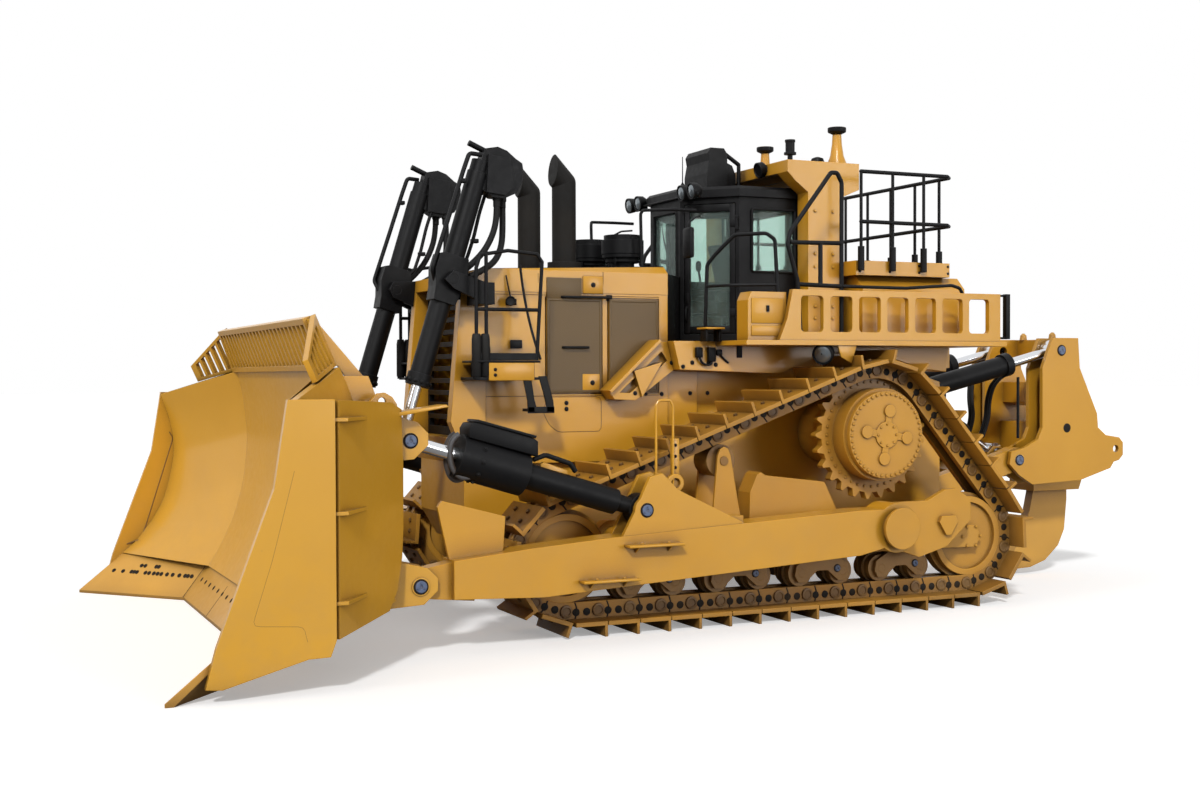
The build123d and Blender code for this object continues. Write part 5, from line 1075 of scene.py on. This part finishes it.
def track_detail(hand, side):
    """Painted shade in the gaps between links and in the link windows, with the pin bosses and shoe bolts of one
    track.
    """
    pins = pin_line()
    bosses, windows, heads = [], [], []
    for (x0, z0, _), (x1, z1, _) in zip(pins, pins[1:] + pins[:1]):
        along = Vector((x1 - x0, 0, z1 - z0)).normalized()
        out = Vector((-along.z, 0, along.x))
        if out.dot(Vector(((x0 + x1) / 2 + 0.6, 0, (z0 + z1) / 2 - 1.0))) < 0:
            out = -out
        middle = Vector(((x0 + x1) / 2, 0, (z0 + z1) / 2))
        for face, way in ((TRACK_MIDDLE + 0.128, 1), (TRACK_MIDDLE - 0.128, -1)):
            y = side * face
            bosses.append(((x0, y, z0), (0, side * way, 0)))
            if way > 0:
                for shift in (-0.060, 0.045):
                    spot = middle + along * shift + out * 0.012
                    windows.append(((spot.x, y, spot.z), (0, side, 0)))
        for across in (-0.150, 0.150):
            for shift in (-0.075, 0.035):
                spot = middle + along * shift + out * 0.110
                heads.append(((spot.x, side * (TRACK_MIDDLE + across), spot.z), out))
    joints = []
    # Thin black strip at each pin: painted shade in the gap between two links.
    pattern = cutout([(-0.012, -0.075), (0.000, -0.080), (0.018, -0.030), (0.014, 0.030), (0.002, 0.078),
                      (-0.010, 0.074),
                      (0.000, 0.030), (0.004, -0.030)], "XZ", -0.0012, 0.0012)
    for x, z, angle in pins:
        copy = pattern.copy()
        copy.data = pattern.data.copy()
        bpy.context.collection.objects.link(copy)
        copy.matrix_world = (Matrix.Translation((x, side * (TRACK_MIDDLE + 0.1285), z))
                             @ Matrix.Rotation(pi / 2 - angle, 4, "Y") @ Matrix.Translation((0.092, 0, 0)))
        joints.append(copy)
    bpy.data.objects.remove(pattern)
    fit(join(joints), f"track_link_gap_shades_{hand}", soot_black, "chassis", "worn_steel")
    boss = turned([(0.060, 0), (0.058, 0.014), (0.040, 0.016), (0.038, 0.008), (0.010, 0.008)], 14)
    fit(scatter(boss, bosses), f"track_pins_{hand}", track_brown)
    # Flat black discs: painted shade in the link windows.
    window = turned([(0.036, 0), (0.036, 0.002), (0.030, 0.003)], 12)
    fit(scatter(window, windows), f"track_link_window_shades_{hand}", soot_black, "chassis", "worn_steel")
    fit(scatter(turned([(0.022, 0), (0.022, 0.016), (0.017, 0.020)], 6), heads), f"track_shoe_bolts_{hand}",
        track_brown)


both(track_detail)


def wheel_detail(hand, side):
    """Final drive bolts, bogie pins and idler bolts on one side."""
    places = []
    for radius, count, size in ((0.400, 44, 0.024), (0.520, 40, 0.022), (0.105, 8, 0.018)):
        turns = [2 * pi * i / count for i in range(count)]
        spots = [(SPROCKET[0] + cos(a) * radius, side * OFF, SPROCKET[1] + sin(a) * radius) for a in turns]
        places.append(scatter(bolt(size), on_face(spots, (0, -side, 0), "sprockets", "final_drives")))
    fit(join(places), f"final_drive_bolts_{hand}", under_yellow)
    pin_caps([(x + shift, 0.45) for x in (-1.756, -0.840, 0.075, 0.991) for shift in (-0.17, 0.17)], side, 0.030,
             f"bogie_pins_{hand}", "chassis", "roller_bogies")
    plugs = []
    for x, z in (FRONT_IDLER, REAR_IDLER):
        found = face_of((x, side * OFF, z), (0, -side, 0), "idlers", "track_frame_left", "track_frame_right")
        if found:
            ring = [(found[0].x + 0.11 * cos(a), side * OFF, found[0].z + 0.11 * sin(a))
                    for a in [2 * pi * i / 6 for i in range(6)]]
            plugs += on_face(ring, (0, -side, 0), "idlers", "track_frame_left", "track_frame_right")
    if plugs:
        fit(scatter(bolt(0.026), plugs), f"idler_bolts_{hand}", under_yellow)


both(wheel_detail)


# ------------------------------------------------------------------ access steps
def step_fittings(hand, side):
    """Rubber boots, kick plate, lamp and hanging cables of the access steps."""
    y = side * 1.170
    boots = []
    for x in (2.535, 2.452):
        boots.append(turned([(0.038, 2.32), (0.044, 2.33), (0.044, 2.66), (0.038, 2.70), (0.030, 2.71)], 18,
                            (x, y, 0)))
    fit(join(boots), f"step_boots_{hand}", rubber)
    plate = slab((1.99, 2.43), span(side, 1.195, 1.212), (2.285, 2.448), 0.006)
    fit(plate, f"step_kick_plate_{hand}", machine_yellow)
    heads = [((2.37, side * 1.212, z), (0, side, 0)) for z in (2.335, 2.385)]
    fit(scatter(bolt(0.020), heads), f"step_plate_bolts_{hand}", satin_black)
    straps = [cutout(outline, "XZ", *span(side, 1.186, 1.204), 0.003)
              for outline in ([(2.02, 2.325), (2.10, 2.325), (2.055, 2.10), (2.05, 1.995), (1.985, 1.995),
                               (1.985, 2.10)],
                              [(1.865, 2.325), (1.945, 2.325), (1.875, 2.10), (1.865, 1.995), (1.79, 1.995),
                               (1.80, 2.10)],
                              [(1.79, 1.985), (2.05, 1.985), (2.05, 2.045), (1.79, 2.045)])]
    fit(join(straps), f"step_straps_{hand}", rubber)
    lip = slab((1.93, 2.545), span(side, 0.80, 1.215), (2.448, 2.468), 0.004)
    mount = slab((2.00, 2.10), span(side, 0.755, 0.80), (2.99, 3.05), 0.008)
    lamp = turned([(0.030, 0), (0.042, 0.03), (0.046, 0.07), (0.040, 0.075), (0.036, 0.062), (0.01, 0.06)], 18,
                  (2.055, side * 0.80, 3.02), (0.5, side, 0.1))
    cable = tube([(2.055, side * 0.79, 3.05), (2.075, side * 0.775, 3.14), (2.095, side * 0.765, 3.27)], 0.007)
    latch = slab((1.935, 2.055), span(side, 0.755, 0.772), (2.585, 2.665), 0.006)
    rod = tube([(2.006, side * 0.90, 3.36), (1.96, side * 0.90, 2.90), (1.909, side * 1.16, 2.48)], 0.012)
    fit(join([lip, mount, lamp, cable, latch, rod]), f"step_lamp_{hand}", satin_black)


both(step_fittings)


def underdeck_fittings(hand, side):
    """Work lamp, valves and strap below the deck's outer edge."""
    at = Vector((-0.86, side * 1.60, 2.53))
    toward = Vector((0.75, side * 0.65, -0.35))
    lamp = turned([(0.05, -0.12), (0.10, -0.06), (0.105, 0.02), (0.095, 0.03), (0.088, 0.012), (0.02, 0.008)], 24, at,
                  toward)
    arm = slab((at.x - 0.03, at.x + 0.03), span(side, -0.02, 0.02, at.y), (2.52, 2.618), 0.006)
    fit(join([lamp, arm]), f"deck_lamp_{hand}", satin_black)
    lens = turned([(0.086, 0.014), (0.070, 0.024), (0.01, 0.028)], 24, at, toward)
    fit(lens, f"deck_lamp_lens_{hand}", lamp_glass)
    bracket = cutout([(-1.20, 2.616), (-0.98, 2.616), (-1.02, 2.50), (-1.14, 2.44)], "XZ",
                     *span(side, 1.655, 1.675), 0.004)
    fit(bracket, f"deck_bracket_{hand}", machine_yellow)
    blocks = [slab((0.20, 0.27), span(side, 1.084, 1.13), (2.50, 2.60), 0.01),
              slab((0.06, 0.14), span(side, 1.084, 1.14), (2.46, 2.60), 0.012),
              slab((-0.02, 0.04), span(side, 1.084, 1.12), (2.52, 2.58), 0.01)]
    lines = [tube([(0.23, side * 1.12, 2.50), (0.22, side * 1.12, 2.44), (0.10, side * 1.12, 2.42),
                   (0.10, side * 1.12, 2.47)], 0.012), tube([(0.01, side * 1.10, 2.55), (-0.04, side * 1.10, 2.48),
                                                              (-0.10, side * 1.09, 2.45)], 0.010)]
    strap = slab((-0.255, -0.195), span(side, 1.083, 1.093), (2.50, 2.66), 0.004)
    fit(join(blocks + lines + [strap]), f"deck_valves_{hand}", satin_black)


both(underdeck_fittings)


# ------------------------------------------------------------------- cab doors
def cab_doorway(hand, side):
    """Cab door of tall tinted glass in a narrow frame, with its hinges and pull handle."""
    body = f"cab_door_{hand}"
    width, low, high, thick = DOOR_WIDTH, 2.751, 4.054, 0.060
    turn = atan2(side * DOOR_RUN[1], DOOR_RUN[0])
    place = Matrix.Translation((CAB_NOSE[0], side * CAB_NOSE[1], 0)) @ Matrix.Rotation(turn, 4, "Z")

    def depth(out_far, out_near):
        """Span across the door, measured outward from its face."""
        return sorted((-side * out_far, -side * out_near))

    def seat(piece):
        piece.matrix_world = place
        freeze(piece)
        return piece

    near, far = 0.046, width - 0.046
    bars = [slab((near, near + 0.055), depth(-thick, 0), (low, high), 0.006),
            slab((far - 0.060, far), depth(-thick, 0), (low, high), 0.006),
            slab((near + 0.05, far - 0.055), depth(-thick, -0.001), (low, low + 0.075), 0.006),
            slab((near + 0.05, far - 0.055), depth(-thick, -0.001), (high - 0.075, high), 0.006)]
    for z in (2.960, 3.860):
        bars.append(slab((far - 0.055, width - 0.026), depth(0.002, 0.012), (z - 0.039, z + 0.039), 0.003))
        bars.append(turned([(0.0155, z - 0.039), (0.0155, z + 0.039)], 16, (width - 0.025, -side * 0.016, 0)))
    fit(join([seat(bar) for bar in bars]), f"door_frame_{hand}", satin_black, body)
    pane = slab((near + 0.050, far - 0.055), depth(-0.038, -0.024), (low + 0.070, high - 0.070), 0.002)
    pane = seat(pane)
    fit(pane, f"door_glass_{hand}", glass, body)
    pull = tube([(near + 0.030, -side * 0.002, 2.880), (near + 0.030, -side * 0.050, 2.885),
                 (near + 0.030, -side * 0.050, 3.020), (near + 0.030, -side * 0.002, 3.025)], 0.010)
    lock = slab((near + 0.012, near + 0.050), depth(0.0, 0.014), (3.06, 3.16), 0.004)
    fit(join([seat(pull), seat(lock)]), f"door_pull_{hand}", satin_black, body)
    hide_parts(f"cab_door_{hand}")


both(cab_doorway)


def canopy_detail():
    """Mast cones and caps, bolts and lamps of the rollover frame."""
    cones, caps, places = [], [], []
    for side in (1, -1):
        cones.append(turned([(0.112, 4.478), (0.108, 4.50), (0.070, 4.60), (0.052, 4.72), (0.046, 4.82)], 28,
                            (-1.592, side * 0.727, 0)))
        caps.append(turned([(0.040, 4.820), (0.093, 4.846), (0.096, 4.858), (0.096, 4.888), (0.0925, 4.8925)], 28,
                           (-1.592, side * 0.727, 0)))
        for x in (-1.12, -1.33):
            for z in (3.42, 3.55, 2.90, 3.02, 3.98):
                places.append((x, side * 2.0, z))
    heads = []
    for side in (1, -1):
        heads += on_face([spot for spot in places if spot[1] * side > 0], (0, -side, 0), "rollover_frame")
    fit(join(cones), "mast_cones", machine_yellow)
    fit(join(caps), "mast_caps", satin_black)
    fit(scatter(bolt(0.026), heads), "rollover_bolts", machine_yellow)
    pods = []
    for side in (1, -1):
        pods.append(turned([(0.05, 4.48), (0.075, 4.50), (0.08, 4.55), (0.06, 4.60), (0.02, 4.615)], 24,
                           (-1.50, side * 0.50, 0)))
        bar = slab((-0.835, -0.79), span(side, 0.50, 0.66), (4.40, 4.46), 0.008)
        head = turned([(0.05, -0.06), (0.078, -0.03), (0.080, 0.03), (0.070, 0.035), (0.066, 0.02), (0.01, 0.018)],
                      22,
                      (-0.760, side * 0.58, 4.43), (1, 0, -0.25))
        pods += [bar, head]
    fit(join(pods), "canopy_lamps", satin_black)


canopy_detail()


# ----------------------------------------------------------------- ripper lines
def ripper_fittings():
    """Hoses, guard bars and pin caps of the ripper, with flat black discs of painted shade in its pin holes."""
    hoses, bars = [], []
    for side in (1, -1):
        for y in (0.10, 0.16):
            hoses.append(tube([(-3.93, side * y, 1.62), (-4.02, side * y, 1.80), (-4.00, side * (y + 0.03), 2.05),
                               (-4.06, side * (y + 0.08), 2.28), (-4.20, side * (y + 0.16), 2.36)], 0.020))
        bars.append(tube([(-4.02, side * 0.655, 2.30), (-4.02, side * 0.655, 1.62)], 0.016))
    fit(join(hoses), "ripper_hoses", rubber, "ripper")
    fit(join(bars), "ripper_side_bars", satin_black, "ripper")
    bosses = []
    for side, hand in ((1, "left"), (-1, "right")):
        pin_caps([RIPPER_HEAD, RIPPER_LINK], side, 0.048, f"ripper_head_pins_{hand}", "ripper", "ripper_beam",
                 "ripper_pins")
        # Flat black discs: painted shade in the pin holes.
        for x, z in ((-4.731, 1.721), (-4.477, 0.800)):
            found = face_of((x, side * OFF, z), (0, -side, 0), "ripper_beam", "ripper_shank")
            if found:
                bosses.append(turned([(0.052, 0), (0.052, 0.002), (0.034, 0.003)], 20,
                                     (x, found[0].y - side * 0.0005, z), (0, side, 0)))
    fit(join(bosses), "ripper_hole_shades", soot_black, "ripper")


def rear_deck_bolts(hand, side):
    """Bolts of the rear hull and tank tray, with the battery box doors."""
    spots = [(x, side * OFF, z) for x in (-2.672, -2.763) for z in (2.30, 2.20)]
    places = on_face(spots, (0, -side, 0), "main_frame", "fenders")
    if places:
        fit(scatter(bolt(0.028), places), f"rear_hull_bolts_{hand}", machine_yellow)
    spots = [(-1.49 - 0.36 * i, side * 3, z) for i in range(4) for z in (3.37, 3.44)]
    places = on_face(spots, (0, -side, 0), "tank_tray")
    fit(scatter(bolt(0.018), places), f"tank_tray_bolts_{hand}", satin_black)
    pads = []
    for z0, z1 in ((2.70, 2.80), (2.82, 3.06)):
        pads.append(slab((-0.405, -0.055), span(side, 1.608, 1.618), (z0, z1), 0.008))
    latch = slab((-0.245, -0.215), span(side, 1.616, 1.632), (2.93, 2.99), 0.005)
    fit(join(pads), f"battery_box_doors_{hand}", machine_yellow)
    fit(latch, f"battery_box_latch_{hand}", satin_black)


ripper_fittings()
both(rear_deck_bolts)


# ------------------------------------------------------------------ cab interior
def pillow(x, y, z, crown):
    """Crowned cushion: sides drawn in between its corners, flat below, a sewn line round its top."""
    size = [b - a for a, b in (x, y, z)]
    middle = [(a + b) / 2 for a, b in (x, y, z)]
    bpy.ops.mesh.primitive_cube_add(size=1, location=(0, 0, 0))
    piece = bpy.context.object
    piece.scale = size
    freeze(piece)
    shape(piece, lambda face: True)
    bpy.ops.mesh.subdivide(number_cuts=11)
    shut()
    half = [value / 2 for value in size]
    for corner in piece.data.vertices:
        u, v, w = (corner.co[i] / half[i] for i in range(3))
        pull = 1 - 0.05 * (1 - v * v) * abs(u) ** 3
        draw = 1 - 0.05 * (1 - u * u) * abs(v) ** 3
        corner.co.x *= pull
        corner.co.y *= draw
        if w > 0.2:
            rise = (1 - u ** 4) * (1 - v ** 4)
            corner.co.z = half[2] * (w * (1 - crown) + crown * w * rise)
            for line in (-0.45, 0.45):
                corner.co.z -= half[2] * 0.10 * max(0, 1 - abs(v - line) / 0.1)
    smooth = piece.modifiers.new("smooth", "SUBSURF")
    smooth.levels = smooth.render_levels = 1
    only(piece)
    bpy.ops.object.modifier_apply(modifier="smooth")
    piece.matrix_world = Matrix.Translation(middle)
    freeze(piece)
    return piece


def operator_station():
    """Seat with its cushions, arm rests, levers and console in the cab."""
    cushion = pillow((-0.715, -0.185), (-0.275, 0.275), (2.985, 3.120), 0.35)
    fit(cushion, "seat_cushion", trim, smooth=60)
    back = pillow((-0.29, 0.29), (-0.255, 0.255), (-0.055, 0.065), 0.35)
    back.matrix_world = Matrix.Translation((-0.705, 0, 3.415)) @ Matrix.Rotation(radians(-80), 4, "Y")
    fit(back, "seat_back", trim, smooth=60)
    frame_parts = [turned([(0.20, 2.722), (0.20, 2.75), (0.14, 2.78), (0.14, 2.96), (0.22, 2.975), (0.22, 2.985)], 28,
                          (-0.45, 0, 0))]
    for side in (1, -1):
        frame_parts.append(slab((-0.64, -0.14), span(side, 0.295, 0.385), (3.205, 3.278), 0.02, 3))
        frame_parts.append(slab((-0.555, -0.485), span(side, 0.315, 0.365), (2.722, 3.21), 0.008))
        lever = tube([(-0.20, side * 0.34, 3.27), (-0.19, side * 0.34, 3.36), (-0.18, side * 0.335, 3.40)], 0.012)
        knob = turned([(0.012, 3.39), (0.026, 3.41), (0.030, 3.45), (0.022, 3.49), (0.006, 3.50)], 16,
                      (-0.18, side * 0.335, 0))
        frame_parts += [lever, knob]
    fit(join(frame_parts), "seat_frame", satin_black, "chassis", "seat_trim")
    console = cutout([(-0.030, 2.722), (-0.030, 3.005), (-0.078, 3.036), (-0.128, 2.722)], "XZ", -0.215, 0.215, 0.010)
    screen = slab((-0.105, -0.085), (-0.12, 0.12), (2.93, 3.02), 0.006)
    fit(join([console, screen]), "front_console", satin_black, "chassis", "seat_trim")
    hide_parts("operator_seat")


operator_station()


# ------------------------------------------------------------------------ yard
def make_floor():
    made, tree, shader = new_material("pale_floor")
    place = node(tree, "ShaderNodeTexCoord")
    grain = noise(tree, place, 2.0, 3)
    tree.links.new(ramp(tree, grain.outputs["Fac"], 0.3, 0.7, 0.85, 0.95), shader.inputs["Roughness"])
    seen = node(tree, "ShaderNodeLightPath").outputs["Is Camera Ray"]
    tree.links.new(blend(tree, seen, (0.30, 0.30, 0.30, 1), (0.96, 0.96, 0.96, 1)), shader.inputs["Base Color"])
    tree.links.new(times(tree, seen, 0.30), shader.inputs["Emission Strength"])
    shader.inputs["Emission Color"].default_value = (1, 1, 1, 1)
    bpy.ops.mesh.primitive_plane_add(size=400, location=(0, 0, 0))
    floor = bpy.context.object
    floor.name = "floor"
    floor.data.materials.append(made)


SUNS = (("key_sun", (0.50, 0.78, 0.66), 2.0, 6), ("side_sun", (-0.50, 1.0, 0.12), 0.95, 25),
        ("front_sun", (1.0, 0.20, 0.40), 0.45, 15))          # name, where it stands, power, spread in degrees


def make_light():
    world = bpy.data.worlds.new("studio")
    bpy.context.scene.world = world
    world.use_nodes = True
    tree = world.node_tree
    tree.nodes.clear()
    out = node(tree, "ShaderNodeOutputWorld")
    soft = node(tree, "ShaderNodeBackground", [("Color", (1, 1, 1, 1)), ("Strength", 0.34)])
    white = node(tree, "ShaderNodeBackground", [("Color", (1, 1, 1, 1)), ("Strength", 1.0)])
    path = node(tree, "ShaderNodeLightPath")
    seen = path.outputs["Is Camera Ray"]
    for ray in ("Is Glossy Ray", "Is Transmission Ray"):
        either = node(tree, "ShaderNodeMath", operation="ADD", use_clamp=True)
        tree.links.new(seen, either.inputs[0])
        tree.links.new(path.outputs[ray], either.inputs[1])
        seen = either.outputs[0]
    mix = node(tree, "ShaderNodeMixShader")
    tree.links.new(seen, mix.inputs["Fac"])
    tree.links.new(soft.outputs[0], mix.inputs[1])
    tree.links.new(white.outputs[0], mix.inputs[2])
    tree.links.new(mix.outputs[0], out.inputs["Surface"])
    for name, source, power, spread in SUNS:
        bpy.ops.object.light_add(type="SUN", rotation=Vector(source).to_track_quat("Z", "Y").to_euler())
        sun = bpy.context.object
        sun.name = name
        sun.data.energy = power
        sun.data.angle = radians(spread)


def make_camera():
    bpy.ops.object.camera_add(location=(7.091, 13.938, 2.327),
                              rotation=(radians(89.072), radians(0.154), radians(155.658)))
    camera = bpy.context.object
    camera.data.sensor_width = 36
    camera.data.lens = 45.0
    camera.data.clip_end = 500
    bpy.context.scene.camera = camera


make_floor()
make_light()
make_camera()
bpy.context.scene.view_settings.view_transform = "Standard"
